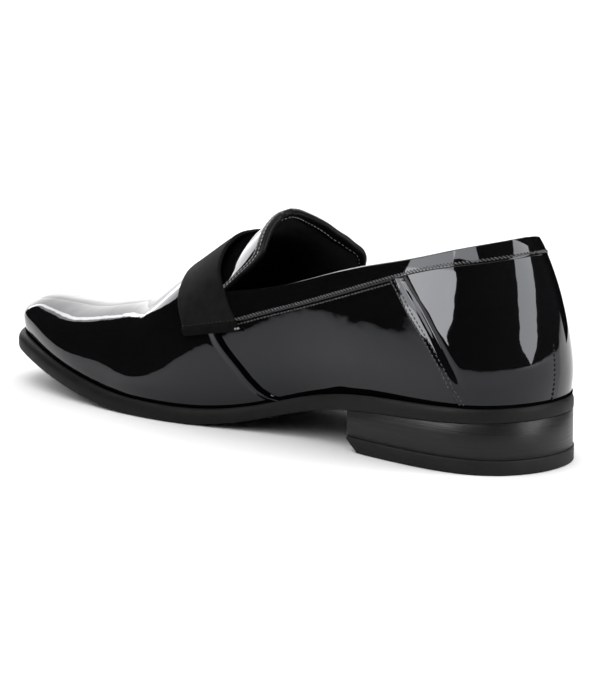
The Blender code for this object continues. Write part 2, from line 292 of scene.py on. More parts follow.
def sole_bottom(station):
    return np.maximum(underside(station), 0.0)


def sole_sides(inward=0.0):
    """Inner and outer side of the sole's edge as (station, offset), each from heel to toe."""
    inner = [(row[0], row[1]) for row in SOLE_PLAN]
    outer = [(row[0], -row[2]) for row in SOLE_PLAN]
    corners = [(0.0, 0.0)] + inner + [(SOLE_LENGTH, TOE_TIP_OFFSET)] + outer[::-1]
    loop = closed_curve(corners, OUTLINE_SAMPLES)
    tangent = np.roll(loop, -1, 0) - np.roll(loop, 1, 0)
    tangent /= np.linalg.norm(tangent, axis=1)[:, None]
    normal = np.stack([tangent[:, 1], -tangent[:, 0]], 1)
    distance = inward(loop[:, 0]) if callable(inward) else np.full(len(loop), inward)
    loop = loop + normal * distance[:, None]
    tip = OUTLINE_SAMPLES * (len(SOLE_PLAN) + 1)
    return loop[:tip + 1], np.vstack([loop[:1], loop[tip:][::-1]])


def in_frame(points):
    """From (station, offset, height) to the shoe's own frame, still in millimetres."""
    points = np.asarray(points, float)
    return np.stack([points[..., 1] - ORIGIN_OFFSET, ORIGIN_STATION - points[..., 0], points[..., 2]], -1)


print("sole at the ball:", round(float(sole_top(190.0)), 1), "mm thick")

# %% [markdown]
# ## The skin
# A shiny skin shows each small wave of its shape in what it mirrors. So the leather is first described as
# one smooth surface, and the pieces are cut from it. A point of the skin has a way, from the heel (0) to the
# toe (1), and a row, from the sole (0) over the topline (1) to the spine (2). A way below nought is on the
# outer side.

# %% Wall of the last
# Soft hollows and ridges of the leather: way and rise of the middle, millimetres outward, spread along the
# way, spread up the wall
WAVES = (
    (0.02, 0.30, -0.7, 0.050, 0.25),
    (0.12, 0.40, -2.8, 0.085, 0.20),
    (0.40, 0.57, 2.5, 0.095, 0.23),
    (0.51, 0.15, -2.4, 0.120, 0.20),
    (0.63, 0.40, -2.4, 0.070, 0.18),
    (0.64, 0.68, 1.0, 0.110, 0.18),
    (0.73, 0.15, -1.5, 0.060, 0.20),
    (0.90, 0.58, 1.3, 0.120, 0.22),
    (0.90, 0.15, -0.7, 0.090, 0.20),
)
WAVE_SHARE = (1.0, 0.4)
# Three soft dips on the inner side of the crown, in front of the strap
CROWN_DIP_WAYS = (0.66, 0.78, 0.90)
CROWN_DIP = 0.6
CROWN_DIP_REACH = 0.35
CROWN_SPREAD = (0.05, 0.22)
CROWN_TOE_FADE = (0.93, 1.0)
CROWN_SPINE_POWER = 6
# The leather sinks a little under the strap, and dips between the strap and the flared edge of the tongue
STRAP_BED = 1.2
STRAP_BED_WAY = 0.665
STRAP_BED_SPREAD = 0.055
STRAP_BED_REACH = (0.3, 0.7)
TONGUE_DIP = 4.0
TONGUE_DIP_WAY = 0.575
TONGUE_DIP_SPREAD = 0.032
TONGUE_DIP_REACH = (0.03, 0.25)
# The collar leans in over the heel
COLLAR_TUCK = 0.4
COLLAR_TUCK_START = 0.86
COLLAR_TUCK_SPREAD = 0.09
TOPLINE_SAMPLES = 160
# Makes the swell of the wall as high as its table says, at a quarter of the rise
SWELL_PEAK = 256 / 27


def bow_shape(reach):
    """Bow of the tongue's edge: nothing at the throat and the spine, fullest at the tongue's corner."""
    turn = np.clip((reach - THROAT_CORNER_REACH) / (TONGUE_CORNER_REACH - THROAT_CORNER_REACH), 0, 1)
    fade = np.clip((1 - reach) / (1 - TONGUE_CORNER_REACH), 0, None)
    return turn * turn * (3 - 2 * turn) * fade**TONGUE_BOW_FADE


class Wall:
    """One side of the last, a surface over the way from heel to toe and the place up the wall."""

    def __init__(self, side):
        self.side = side
        self.foot = sole_sides(ledge)[side]
        self.foot_share = smooth_through(COLUMNS, 1 + side)
        self.spine_station = smooth_through(COLUMNS, 3)
        self.swell = smooth_through(SWELL, 1 + side)
        self.lean = smooth_through(LEAN, 1 + side)
        self.topline = smooth_through(TOPLINE, 1 + side)
        ways = np.linspace(0, THROAT, TOPLINE_SAMPLES)
        self.top_ways = ways
        self.top_places = np.array([self.topline_place(way) for way in ways])

    def wave(self, way, rise):
        """Millimetres that the soft waves stand out."""
        total = np.zeros(way.shape)
        for wave_way, wave_rise, amount, spread, spread_up in WAVES:
            beside = ((way - wave_way) / spread)**2
            above = ((rise - wave_rise) / spread_up)**2
            total += amount * np.exp(-beside - above)
        return total * WAVE_SHARE[self.side]

    def crown(self, way, reach):
        """Millimetres that the crown rises, less than nought in its soft dips."""
        total = np.zeros(way.shape)
        for dip_way in CROWN_DIP_WAYS:
            beside = ((way - dip_way) / CROWN_SPREAD[0])**2
            across = ((reach - CROWN_DIP_REACH) / CROWN_SPREAD[1])**2
            total -= CROWN_DIP * np.exp(-beside - across)
        return total * (1 - self.side) * (1 - reach**CROWN_SPINE_POWER) * (1 - ease(way, *CROWN_TOE_FADE))

    def at(self, way, place, dipped=True, tuck=0.0):
        """Points (station, offset, height); place 0 is the foot of the wall, 1 the spine."""
        way, place = np.broadcast_arrays(np.asarray(way, float), np.asarray(place, float))
        foot = along(self.foot, np.clip(self.foot_share(way), 0, 1))
        spine = self.spine_station(way)
        head = np.stack([spine, spine_offset(spine)], -1)
        span = head - foot
        width = np.linalg.norm(span, axis=-1)
        power = 2 / squareness(spine)
        turn = place * np.pi / 2
        reach = 1 - np.clip(np.cos(turn), 0, 1)**power
        rise = np.clip(np.sin(turn), 0, 1)**power
        swell = self.swell(way) * rise * (1 - rise)**3 * SWELL_PEAK + self.wave(way, rise) - tuck
        swell = swell - self.lean(way) * rise
        by_strap = np.exp(-((way - STRAP_BED_WAY) / STRAP_BED_SPREAD)**2)
        drop = STRAP_BED * by_strap * ease(reach, *STRAP_BED_REACH) - self.crown(way, reach)
        if dipped:
            by_tongue = np.exp(-((way - TONGUE_DIP_WAY) / TONGUE_DIP_SPREAD)**2)
            dip = TONGUE_DIP * by_tongue * ease(reach, *TONGUE_DIP_REACH)
            swell = swell - dip * np.cos(turn)
            drop = drop + dip * np.sin(turn)
        plan = foot + span * (reach - swell / width)[..., None]
        near_throat = np.exp(-((way - THROAT) / TONGUE_BOW_SPREAD)**2)
        plan[..., 0] -= TONGUE_BOW[self.side] * near_throat * bow_shape(reach)
        base = sole_top(foot[..., 0]) + GAP
        height = base + (spine_height(plan[..., 0]) - base - drop) * rise
        return np.concatenate([plan, height[..., None]], -1)

    def topline_place(self, way):
        """Place up the wall where a column of the quarter meets the topline."""
        places = np.linspace(0.0, 1.0, SEARCH_SAMPLES)
        points = self.at(way, places)
        over = points[:, 2] - self.topline(points[:, 0])
        return float(np.interp(0.0, over, places))

    def way_at(self, station, place):
        """Way from heel to toe at which the wall passes a station, at one place up the wall."""
        ways = np.linspace(0.0, 1.0, SEARCH_SAMPLES)
        return np.interp(station, self.at(ways, place, dipped=False)[:, 0], ways)

    def skin(self, way, row):
        """Points of the skin in the shoe's frame."""
        past = np.clip((way - THROAT) / (1 - THROAT), 0, 1)
        top = np.interp(way, self.top_ways, self.top_places) * (1 - past) + TOE_ROW_PLACE * past
        place = np.where(row <= 1, row * top, top + (1 - top) * (row - 1))
        near_top = np.clip((row - COLLAR_TUCK_START) / (1 - COLLAR_TUCK_START), 0, 1)
        tuck = COLLAR_TUCK * np.exp(-(way / COLLAR_TUCK_SPREAD)**2) * near_top**3
        return in_frame(self.at(way, np.clip(place, 0, 1), tuck=tuck))


walls = (Wall(0), Wall(1))


def skin(way, row):
    """Points of the skin in millimetres; a way below nought is on the outer side."""
    way, row = np.broadcast_arrays(np.asarray(way, float), np.asarray(row, float))
    inner = walls[0].skin(np.clip(np.abs(way), 0, 1), row)
    outer = walls[1].skin(np.clip(np.abs(way), 0, 1), row)
    return np.where((way < 0)[..., None], outer, inner)


def unit(vectors):
    return vectors / np.maximum(np.linalg.norm(vectors, axis=-1), 1e-9)[..., None]


def skin_frame(way, row):
    """Point of the skin, its outward normal, and the direction up the wall."""
    step = 0.003
    around = skin(way - step, row) - skin(way + step, row)
    up = skin(way, np.minimum(row + step, 2)) - skin(way, np.maximum(row - step, 0))
    return skin(way, row), unit(np.cross(around, up)), unit(up)


print("top of the tongue:", np.round(skin(THROAT, 2.0), 1))

# %% [markdown]
# ## Sheets of leather
# Each piece of leather is a grid of points on the skin. A lift says how far each point stands off the skin,
# so an edge can be rolled over and a seam can be raised. The sheet then gets its thickness: the grid again,
# a little lower, with a rim between the two. Making it in one go keeps the outside where it was drawn.

# %% Sheet maker
SHARP_ANGLE = np.radians(50.0)


def grid_faces(rows, columns, flip):
    """Quads of a grid, rows by columns; flip turns them over."""
    corner = (np.arange(rows - 1)[:, None] * columns + np.arange(columns - 1)[None, :]).ravel()
    quads = np.stack([corner, corner + 1, corner + columns + 1, corner + columns], 1)
    return quads[:, ::-1] if flip else quads


def vertex_normals(points, quads):
    """Outward normals of a mesh of quads."""
    a, b, c, d = (points[quads[:, k]] for k in range(4))
    face = np.cross(c - a, d - b)
    normals = np.zeros_like(points)
    for k in range(4):
        np.add.at(normals, quads[:, k], face)
    return unit(normals)


def rim_edges(quads):
    """Directed edges of the quads that no other quad has the other way round."""
    edges = np.concatenate([quads[:, [k, (k + 1) % 4]] for k in range(4)])
    edges = edges[edges[:, 0] != edges[:, 1]]
    known = set(map(tuple, edges.tolist()))
    return [(a, b) for a, b in known if (b, a) not in known]


def new_piece(name, points, faces, material, uv=None):
    """Object of a mesh given in millimetres, smooth but for its sharp edges."""
    mesh = bpy.data.meshes.new(name)
    mesh.from_pydata((np.asarray(points) * MILLIMETRE).tolist(), [], faces)
    mesh.validate()
    mesh.materials.append(material)
    mesh.shade_smooth()
    mesh.set_sharp_from_angle(angle=SHARP_ANGLE)
    if uv is not None:
        layer = mesh.uv_layers.new(name="UVMap")
        corners = np.zeros(len(mesh.loops), int)
        mesh.loops.foreach_get("vertex_index", corners)
        layer.data.foreach_set("uv", np.asarray(uv, float)[corners].ravel())
    piece = bpy.data.objects.new(name, mesh)
    scene.collection.objects.link(piece)
    return piece


def sheet(name, points, lift, thickness, material, flip=False, uv=None):
    """Sheet over a grid of points, standing off them by lift, with its thickness below."""
    rows, columns = points.shape[:2]
    flat = points.reshape(-1, 3)
    first, place = np.unique(np.round(flat, 4), axis=0, return_index=True, return_inverse=True)[1:]
    quads = place.ravel()[grid_faces(rows, columns, flip)]
    base = flat[first]
    lift = np.broadcast_to(lift, (rows, columns)).ravel()[first]
    thick = np.broadcast_to(thickness, (rows, columns)).ravel()[first]
    normals = vertex_normals(base, quads)
    top = base + normals * lift[:, None]
    bottom = base + normals * (lift - thick)[:, None]
    count = len(base)
    faces = [tuple(dict.fromkeys(q)) for q in quads.tolist()]
    faces += [tuple(dict.fromkeys(q))[::-1] for q in (quads + count).tolist()]
    faces += [(b, a, a + count, b + count) for a, b in rim_edges(quads)]
    faces = [face for face in faces if len(face) > 2]
    if uv is not None:
        uv = np.asarray(uv).reshape(-1, 2)[first]
        uv = np.vstack([uv, uv])
    return new_piece(name, np.vstack([top, bottom]), faces, material, uv)


print("sheet maker ready")

# %% [markdown]
# ## Finishes
# Patent leather is leather under a clear lacquer: black below, and a hard mirror on top that follows every
# ripple of the hide. One node group makes ripples of a given size, another makes a fine grain, and each
# material places them with its own values. What is the same all over a surface is set on the shader itself.

# %% Node groups for ripples and grain
def new_group(name, inputs, outputs):
    """Empty shader group with named float inputs and outputs."""
    group = bpy.data.node_groups.new(name, "ShaderNodeTree")
    for label, value in inputs:
        socket = group.interface.new_socket(label, in_out="INPUT", socket_type="NodeSocketFloat")
        socket.default_value = value
    for label in outputs:
        group.interface.new_socket(label, in_out="OUTPUT", socket_type="NodeSocketFloat")
    return group, group.nodes.new("NodeGroupInput"), group.nodes.new("NodeGroupOutput")


def ripple_group():
    """Slow waves of a lacquered hide, and a mask of smudges for its roughness."""
    sizes = (("Size", 60.0), ("Smudge size", 25.0))
    group, start, end = new_group("hide ripples", sizes, ("Height", "Smudge"))
    coordinates = group.nodes.new("ShaderNodeTexCoord")
    waves = group.nodes.new("ShaderNodeTexNoise")
    waves.inputs["Detail"].default_value = 2.5
    waves.inputs["Roughness"].default_value = 0.45
    smudges = group.nodes.new("ShaderNodeTexNoise")
    smudges.inputs["Detail"].default_value = 4.0
    link = group.links.new
    link(coordinates.outputs["Object"], waves.inputs["Vector"])
    link(coordinates.outputs["Object"], smudges.inputs["Vector"])
    link(start.outputs["Size"], waves.inputs["Scale"])
    link(start.outputs["Smudge size"], smudges.inputs["Scale"])
    link(waves.outputs["Fac"], end.inputs["Height"])
    link(smudges.outputs["Fac"], end.inputs["Smudge"])
    return group


def grain_group():
    """Fine pebbles of leather or rubber, and a soft mottle for its colour."""
    sizes = (("Size", 900.0), ("Mottle size", 90.0))
    group, start, end = new_group("fine grain", sizes, ("Height", "Mottle"))
    coordinates = group.nodes.new("ShaderNodeTexCoord")
    pebbles = group.nodes.new("ShaderNodeTexVoronoi")
    pebbles.feature = "SMOOTH_F1"
    mottle = group.nodes.new("ShaderNodeTexNoise")
    mottle.inputs["Detail"].default_value = 5.0
    link = group.links.new
    link(coordinates.outputs["Object"], pebbles.inputs["Vector"])
    link(coordinates.outputs["Object"], mottle.inputs["Vector"])
    link(start.outputs["Size"], pebbles.inputs["Scale"])
    link(start.outputs["Mottle size"], mottle.inputs["Scale"])
    link(pebbles.outputs["Distance"], end.inputs["Height"])
    link(mottle.outputs["Fac"], end.inputs["Mottle"])
    return group


hide_ripples = ripple_group()
fine_grain = grain_group()
print("groups:", hide_ripples.name, "and", fine_grain.name)

# %% Material maker
# Noise keeps mostly between these values, so a mask is stretched from one to the other
MASK_LOW = 0.3
MASK_HIGH = 0.7
GRAIN_TO_MOTTLE = 12
ROUGHNESS_SPREAD = 0.06


def new_material(name, roughness, specular=0.5):
    """Material with a bare shader; returns it and its shader."""
    material = bpy.data.materials.new(name)
    material.use_nodes = True
    nodes = material.node_tree.nodes
    shader = nodes["Principled BSDF"]
    shader.inputs["Roughness"].default_value = roughness
    shader.inputs["Specular IOR Level"].default_value = specular
    return material, shader


def add_group(material, group, **values):
    node = material.node_tree.nodes.new("ShaderNodeGroup")
    node.node_tree = group
    for label, value in values.items():
        node.inputs[label.replace("_", " ")].default_value = value
    return node


def add_bump(material, shader, height, strength, distance):
    """Bump from a height socket to the shader's normal."""
    bump = material.node_tree.nodes.new("ShaderNodeBump")
    bump.inputs["Strength"].default_value = strength
    bump.inputs["Distance"].default_value = distance
    material.node_tree.links.new(height, bump.inputs["Height"])
    material.node_tree.links.new(bump.outputs["Normal"], shader.inputs["Normal"])
    return bump


def add_range(material, value, low, high):
    """Stretch a mask over a range of values."""
    node = material.node_tree.nodes.new("ShaderNodeMapRange")
    node.inputs["From Min"].default_value = MASK_LOW
    node.inputs["From Max"].default_value = MASK_HIGH
    node.inputs["To Min"].default_value = low
    node.inputs["To Max"].default_value = high
    material.node_tree.links.new(value, node.inputs["Value"])
    return node.outputs["Result"]


def add_shades(material, shader, value, dark, light):
    """Mix two greys over a mask into the base colour."""
    ramp = material.node_tree.nodes.new("ShaderNodeValToRGB")
    ramp.color_ramp.elements[0].position = MASK_LOW
    ramp.color_ramp.elements[0].color = (*dark, 1.0)
    ramp.color_ramp.elements[1].position = MASK_HIGH
    ramp.color_ramp.elements[1].color = (*light, 1.0)
    material.node_tree.links.new(value, ramp.inputs["Fac"])
    material.node_tree.links.new(ramp.outputs["Color"], shader.inputs["Base Color"])


def patent_leather():
    material, shader = new_material("black patent leather", 0.04, 0.33)
    # The reflections are tinted a little blue: the bluish light of the lamps painted into the lacquer
    shader.inputs["Specular Tint"].default_value = (0.93, 0.95, 1.0, 1.0)
    ripples = add_group(material, hide_ripples, Size=55.0, Smudge_size=30.0)
    smudge = ripples.outputs["Smudge"]
    add_shades(material, shader, smudge, (0.0022, 0.0022, 0.0024), (0.0032, 0.0032, 0.0035))
    roughness = add_range(material, smudge, 0.028, 0.05)
    material.node_tree.links.new(roughness, shader.inputs["Roughness"])
    add_bump(material, shader, ripples.outputs["Height"], 0.35, 0.0008)
    return material


def grey(value):
    return (value, value, value)


def grained(name, dark, light, roughness, size, strength, specular=0.5):
    """Matt or satin finish between two greys, with a fine grain."""
    material, shader = new_material(name, roughness, specular)
    grain = add_group(material, fine_grain, Size=size, Mottle_size=size / GRAIN_TO_MOTTLE)
    mottle = grain.outputs["Mottle"]
    add_shades(material, shader, mottle, grey(dark), grey(light))
    spread = add_range(material, mottle, roughness - ROUGHNESS_SPREAD, roughness + ROUGHNESS_SPREAD)
    material.node_tree.links.new(spread, shader.inputs["Roughness"])
    add_bump(material, shader, grain.outputs["Height"], strength, 0.0003)
    return material


patent = patent_leather()
lining = grained("black lining leather", 0.004, 0.007, 0.55, 1100.0, 0.25)
sole_edge = grained("black sole edge", 0.006, 0.009, 0.55, 1500.0, 0.12, 0.12)
lift_rubber = grained("black heel rubber", 0.011, 0.015, 0.6, 1300.0, 0.18, 0.12)
thread = grained("waxed thread", 0.012, 0.03, 0.3, 4000.0, 0.3)
# Thread of the rope on the collar band, a little lighter grey than the waxed thread
dark_grey_thread = grained("dark grey thread", 0.02, 0.05, 0.35, 4000.0, 0.3)
# Pale grey thread: its light colour paints the glints of the dark waxed thread, on the tongue's rows and the
# strap's knots
glint_painted_thread = grained("thread with painted glints", 0.14, 0.26, 0.4, 4000.0, 0.3)
edge_dressing = grained("black edge dressing", 0.0015, 0.003, 0.45, 1600.0, 0.3, 0.14)
# Near-black without shine, for painted shade: the strip at the joint of upper and sole, and the vamp's cut
# edge, whose black is partly the edge's own dressing
painted_shade_strip_black = grained("black painted shade strip", 0.0008, 0.0014, 0.7, 1500.0, 0.1, 0.0)
print("materials:", len(bpy.data.materials))

# %% [markdown]
# ## Ribbon and heel finishes
# The strap is a woven ribbon with fine ribs across it, so its bump is a band pattern on the strap's own map,
# which is in millimetres. The heel block is pressed and trimmed on a wheel, which leaves fine level lines: a
# noise stretched along the floor gives them.

# %% Ribbon and heel materials
def woven_ribbon(name, dark, light):
    material, shader = new_material(name, 0.82, 0.04)
    nodes = material.node_tree.nodes
    link = material.node_tree.links.new
    place = nodes.new("ShaderNodeTexCoord")
    ribs = nodes.new("ShaderNodeTexWave")
    ribs.bands_direction = "X"
    ribs.inputs["Scale"].default_value = 0.62
    ribs.inputs["Distortion"].default_value = 0.6
    ribs.inputs["Detail"].default_value = 1.0
    link(place.outputs["UV"], ribs.inputs["Vector"])
    grain = add_group(material, fine_grain, Size=1700.0, Mottle_size=220.0)
    add_shades(material, shader, grain.outputs["Mottle"], dark, light)
    add_bump(material, shader, ribs.outputs["Fac"], 0.35, 0.0002)
    shader.inputs["Sheen Weight"].default_value = 0.015
    shader.inputs["Sheen Roughness"].default_value = 0.5
    return material


def wheel_trimmed_stack():
    material, shader = new_material("black heel stack", 0.36, 0.26)
    nodes = material.node_tree.nodes
    link = material.node_tree.links.new
    place = nodes.new("ShaderNodeTexCoord")
    stretch = nodes.new("ShaderNodeMapping")
    stretch.inputs["Scale"].default_value = (18.0, 18.0, 2600.0)
    lines = nodes.new("ShaderNodeTexNoise")
    lines.inputs["Scale"].default_value = 1.0
    lines.inputs["Detail"].default_value = 3.0
    link(place.outputs["Object"], stretch.inputs["Vector"])
    link(stretch.outputs["Vector"], lines.inputs["Vector"])
    add_shades(material, shader, lines.outputs["Fac"], (0.004, 0.004, 0.0043), (0.008, 0.008, 0.0086))
    spread = add_range(material, lines.outputs["Fac"], 0.32, 0.46)
    link(spread, shader.inputs["Roughness"])
    add_bump(material, shader, lines.outputs["Fac"], 0.6, 0.0002)
    return material


ribbon = woven_ribbon("black woven ribbon", (0.0045, 0.0045, 0.0045), (0.0078, 0.0078, 0.008))
# The hems are darker than the ribbon: painted shade on the strap's low ends, which face away from the light
# above
shaded_hem_ribbon = woven_ribbon("black ribbon hem with painted shade", (0.001, 0.001, 0.001), (0.0028, 0.0028, 0.0029))
stack = wheel_trimmed_stack()
print("ribbon and stack ready")

# %% [markdown]
# ## Sole and heel
# The outsole is one flat piece with a rounded, stained edge. Its outline is drawn again and again at
# different heights, each a little further in or out, and the rings are joined like the hoops of a barrel.
# The heel block and its rubber lift are made the same way, with a hollow breast at the front.

# %% Ring maker
SOLE_POINTS = 150
HEEL_POINTS = 80
BREAST_POINTS = 16
BREAST_HOLLOW = 3.0
HEEL_BREAST = 87.3
LIFT_HEIGHT = 6.2
LIFT_BEVEL_RUN = 7.0
LIFT_BEVEL_HEIGHT = 5.2


def cap_faces(ring, upward):
    """Quads across a ring made of two sides that face each other."""
    faces = []
    for i in range(len(ring) // 2):
        corners = tuple(dict.fromkeys([ring[i], ring[i + 1], ring[-2 - i], ring[-1 - i]]))
        if len(corners) > 2:
            faces.append(corners if upward else corners[::-1])
    return faces


def barrel(name, rings, material):
    """Closed solid through rings of points, the first below and the last on top."""
    count = len(rings[0])
    numbers = [list(range(k * count, (k + 1) * count)) for k in range(len(rings))]
    faces = cap_faces(numbers[0], upward=False) + cap_faces(numbers[-1], upward=True)
    for lower, upper in zip(numbers[:-1], numbers[1:]):
        for i in range(count):
            after = (i + 1) % count
            faces.append((lower[i], lower[after], upper[after], upper[i]))
    return new_piece(name, in_frame(np.vstack(rings)), faces, material)


def sole_ring(inward, height):
    """Ring round the whole sole: up the outer side from the heel, then back down the inner side."""
    inner, outer = sole_sides(inward)
    shares = np.linspace(0, 1, SOLE_POINTS + 1)
    plan = np.vstack([along(outer, shares), along(inner, shares)[-2:0:-1]])
    return np.column_stack([plan, height(plan[:, 0])])


def heel_ring(inward, breast, height):
    """Ring of the heel: the outer side up to the breast, the hollow breast, the inner side back."""
    inner, outer = sole_sides(inward)
    shares = np.linspace(0, 1, HEEL_POINTS // 2 + 1)
    sides = []
    for side in (outer, inner):
        cut = np.interp(breast, side[:, 0], side[:, 1])
        sides.append(along(np.vstack([side[side[:, 0] < breast], (breast, cut)]), shares))
    outer, inner = sides
    across = np.linspace(0, 1, BREAST_POINTS + 1)[1:-1]
    hollow = breast - BREAST_HOLLOW * np.sin(np.pi * across)
    front = np.column_stack([hollow, outer[-1, 1] + (inner[-1, 1] - outer[-1, 1]) * across])
    plan = np.vstack([outer, front, inner[:0:-1]])
    return np.column_stack([plan, height(plan[:, 0])])


print("rings of", SOLE_POINTS * 2, "points")

# %% Outsole
# Profile of the sole's edge: share of its height, share of the ledge that it is drawn in
EDGE_PROFILE = (
    (0.00, 0.30),
    (0.03, 0.12),
    (0.08, 0.03),
    (0.16, 0.00),
    (0.32, 0.00),
    (0.52, 0.00),
    (0.68, 0.08),
    (0.81, 0.22),
    (0.91, 0.42),
    (0.97, 0.60),
    (1.00, 0.78),
)


def edge_ring(share, drawn_in):
    def height(station):
        return sole_bottom(station) * (1 - share) + sole_top(station) * share
    return sole_ring(lambda station: ledge(station) * drawn_in, height)


outsole = barrel("outsole_finished", [edge_ring(*row) for row in EDGE_PROFILE], sole_edge)
print("outsole faces:", len(outsole.data.polygons))

# %% Heel stack and top lift
EDGE_BREAK = 0.2
HAIRLINE = 0.05
STACK_INSET = 0.2
LIFT_PROUD = 0.3
BREAST_BREAK = 0.3


def level(height):
    return lambda station: np.full(np.shape(station), height)


def under_sole(gap):
    return lambda station: sole_bottom(station) - gap


heel_stack = barrel("heel_stack_finished", [
    heel_ring(STACK_INSET + EDGE_BREAK, HEEL_BREAST, level(LIFT_HEIGHT)),
    heel_ring(STACK_INSET, HEEL_BREAST, level(LIFT_HEIGHT + EDGE_BREAK)),
    heel_ring(STACK_INSET, HEEL_BREAST, under_sole(HAIRLINE + EDGE_BREAK)),
    heel_ring(STACK_INSET + EDGE_BREAK, HEEL_BREAST, under_sole(HAIRLINE)),
], stack)
top_lift = barrel("top_lift_finished", [
    heel_ring(EDGE_BREAK - LIFT_PROUD, HEEL_BREAST - LIFT_BEVEL_RUN, level(0.0)),
    heel_ring(-LIFT_PROUD, HEEL_BREAST - LIFT_BEVEL_RUN + BREAST_BREAK, level(EDGE_BREAK)),
    heel_ring(-LIFT_PROUD, HEEL_BREAST, level(LIFT_BEVEL_HEIGHT)),
    heel_ring(-LIFT_PROUD, HEEL_BREAST, level(LIFT_HEIGHT - HAIRLINE - EDGE_BREAK)),
    heel_ring(EDGE_BREAK - LIFT_PROUD, HEEL_BREAST, level(LIFT_HEIGHT - HAIRLINE)),
], lift_rubber)
print("heel faces:", len(heel_stack.data.polygons) + len(top_lift.data.polygons))

# %% Sock over the insole
SOCK_EDGE = 0.6
SOCK_EDGE_ROUND = 0.3
SOCK_INSET = 2.8
SOCK_THICKNESS = 3.0


def sock_ring(inward, height):
    def inside(station):
        return ledge(station) + SOCK_INSET + inward
    return sole_ring(inside, lambda station: sole_top(station) + GAP + height)


sock = barrel("sock", [
    sock_ring(0.0, 0.0),
    sock_ring(0.0, SOCK_THICKNESS - SOCK_EDGE),
    sock_ring(SOCK_EDGE * SOCK_EDGE_ROUND, SOCK_THICKNESS - SOCK_EDGE * SOCK_EDGE_ROUND),
    sock_ring(SOCK_EDGE, SOCK_THICKNESS),
], lining)
print("sock faces:", len(sock.data.polygons))

# %% [markdown]
# ## Quarters and counter
# The quarters are the sides of the shoe. Towards the heel a second layer, the counter, lies over them: its
# front edge slopes down to the sole and is sewn with a double row. A soft crease runs beside it, where the
# stiffener below begins. The grid's columns follow these lines, so the step and the crease stay crisp.

# %% Lines on the skin
# Back edge of the vamp, which lies over the quarters: row, way
VAMP_SEAM = ((0.0, 0.408), (0.032, 0.422), (0.096, 0.434), (0.192, 0.446), (0.285, 0.456),
             (0.377, 0.467), (0.493, 0.481), (0.645, 0.498), (1.0, 0.52), (2.0, 0.52))
# Front edge of the counter, and the crease behind it: row, way
COUNTER_EDGE = ((0.0, 0.125), (0.076, 0.138), (0.188, 0.151), (0.361, 0.174), (0.537, 0.198),
                (0.677, 0.215), (0.814, 0.231), (1.0, 0.253))
CREASE = ((0.0, 0.108), (0.120, 0.125), (0.253, 0.141), (0.409, 0.159), (0.605, 0.182),
          (0.749, 0.201), (0.810, 0.208), (1.0, 0.232))
# Lower edge of the collar band: way, row
BAND_EDGE = ((0.0, 0.850), (0.107, 0.858), (0.190, 0.866), (0.226, 0.846), (0.267, 0.812),
             (0.317, 0.775), (0.380, 0.752), (0.424, 0.738), (0.466, 0.698), (0.52, 0.655))


def line(table):
    knots = [row[0] for row in table]
    values = [row[1] for row in table]
    return lambda at: np.interp(at, knots, values)


vamp_seam = line(VAMP_SEAM)
counter_edge = line(COUNTER_EDGE)
crease = line(CREASE)
band_edge = smooth_through(BAND_EDGE, 1)
# Millimetres to the whole way, beside the counter's edge and beside the vamp's seam
COUNTER_WAY_MM = 280.0
VAMP_WAY_MM = 213.0
# Edge of the tongue: row, millimetres in front of the throat's column on the inner and on the outer side
TONGUE_EDGE = (
    (1.0, 1.0, -0.5),
    (1.1, -1.0, -2.5),
    (1.2, -2.8, 2.5),
    (1.3, -3.2, 5.6),
    (1.4, -2.9, 6.5),
    (1.5, -2.5, 6.5),
    (1.6, -2.3, 6.3),
    (1.7, -2.2, 5.75),
    (1.8, -1.2, 4.7),
    (1.9, 0.6, 3.0),
    (2.0, 1.2, 1.2),
)
# Millimetres to the whole way beside the tongue's edge
TONGUE_WAY_MM = 260.0
tongue_shift = (smooth_through(TONGUE_EDGE, 1), smooth_through(TONGUE_EDGE, 2))


def front_rows(low_count, high_count, start=0.0):
    """Rows from the inner side over the spine to the outer side, and the side of each."""
    half = np.concatenate([np.linspace(start, 1, low_count), np.linspace(1, 2, high_count)[1:]])
    rows = np.concatenate([half, half[-2::-1]])
    side = np.concatenate([np.ones(len(half)), -np.ones(len(half) - 1)])
    return rows, side


def tongue_edge(rows, side):
    """Way of the tongue's edge in each row."""
    shift = np.where(side > 0, tongue_shift[0](rows), tongue_shift[1](rows))
    return THROAT + shift / TONGUE_WAY_MM


def front_edge(rows, side):
    """Way where the vamp begins: at the seam on the sides, at the tongue's edge above."""
    return np.where(rows < 1, vamp_seam(rows), tongue_edge(rows, side))


print("vamp seam reaches way", VAMP_SEAM[-1][1])

# %% Quarters
UNDERLAP = 0.014
LEATHER = 1.2
QUARTER_TOP = 0.985
COUNTER_STEP = 0.6
COUNTER_ROUND = 0.9
PUCKER = 1.0
PUCKER_REACH = (9.0, 26.0)
PUCKER_FADE = (0.55, 0.8)
PUCKER_START = (0.0, 0.12)
CREASE_DEPTH = 0.8
CREASE_WIDTH = 1.4
CREASE_START = (0.02, 0.2)
QUARTER_ROWS = 80
# Wrinkles beside the crease: way, row, millimetres up
WRINKLES = (
    (0.144, 0.745, -0.20),
    (0.142, 0.540, -0.22),
    (0.150, 0.420, 0.12),
)
WRINKLE_SPREAD = (4.5, 5.0)
# Millimetres up the wall from row 0 to row 1
WALL_ROW_MM = 52.0

# Columns between four lines, numbered from 0: vamp seam, counter's edge, crease and back. They lie close
# together beside the counter's edge and the crease.
before_counter = 1 - np.array([0.12, 0.3, 0.6, 1.0, 1.5, 2.2]) / 100
over_counter = 1 + np.array([0.0, 0.1, 0.25, 0.45, 0.7, 1.0, 1.4, 1.9, 2.5, 3.2, 3.9, 4.4, 4.9]) / 5.5
after_crease = 2 + np.array([0.0, 0.5, 1.0, 1.5, 2.1, 3.0]) / 50
quarter_columns = np.concatenate([
    np.linspace(0, 0.97, 64),
    before_counter[::-1],
    over_counter,
    after_crease,
    np.linspace(2.08, 3, 34),
])


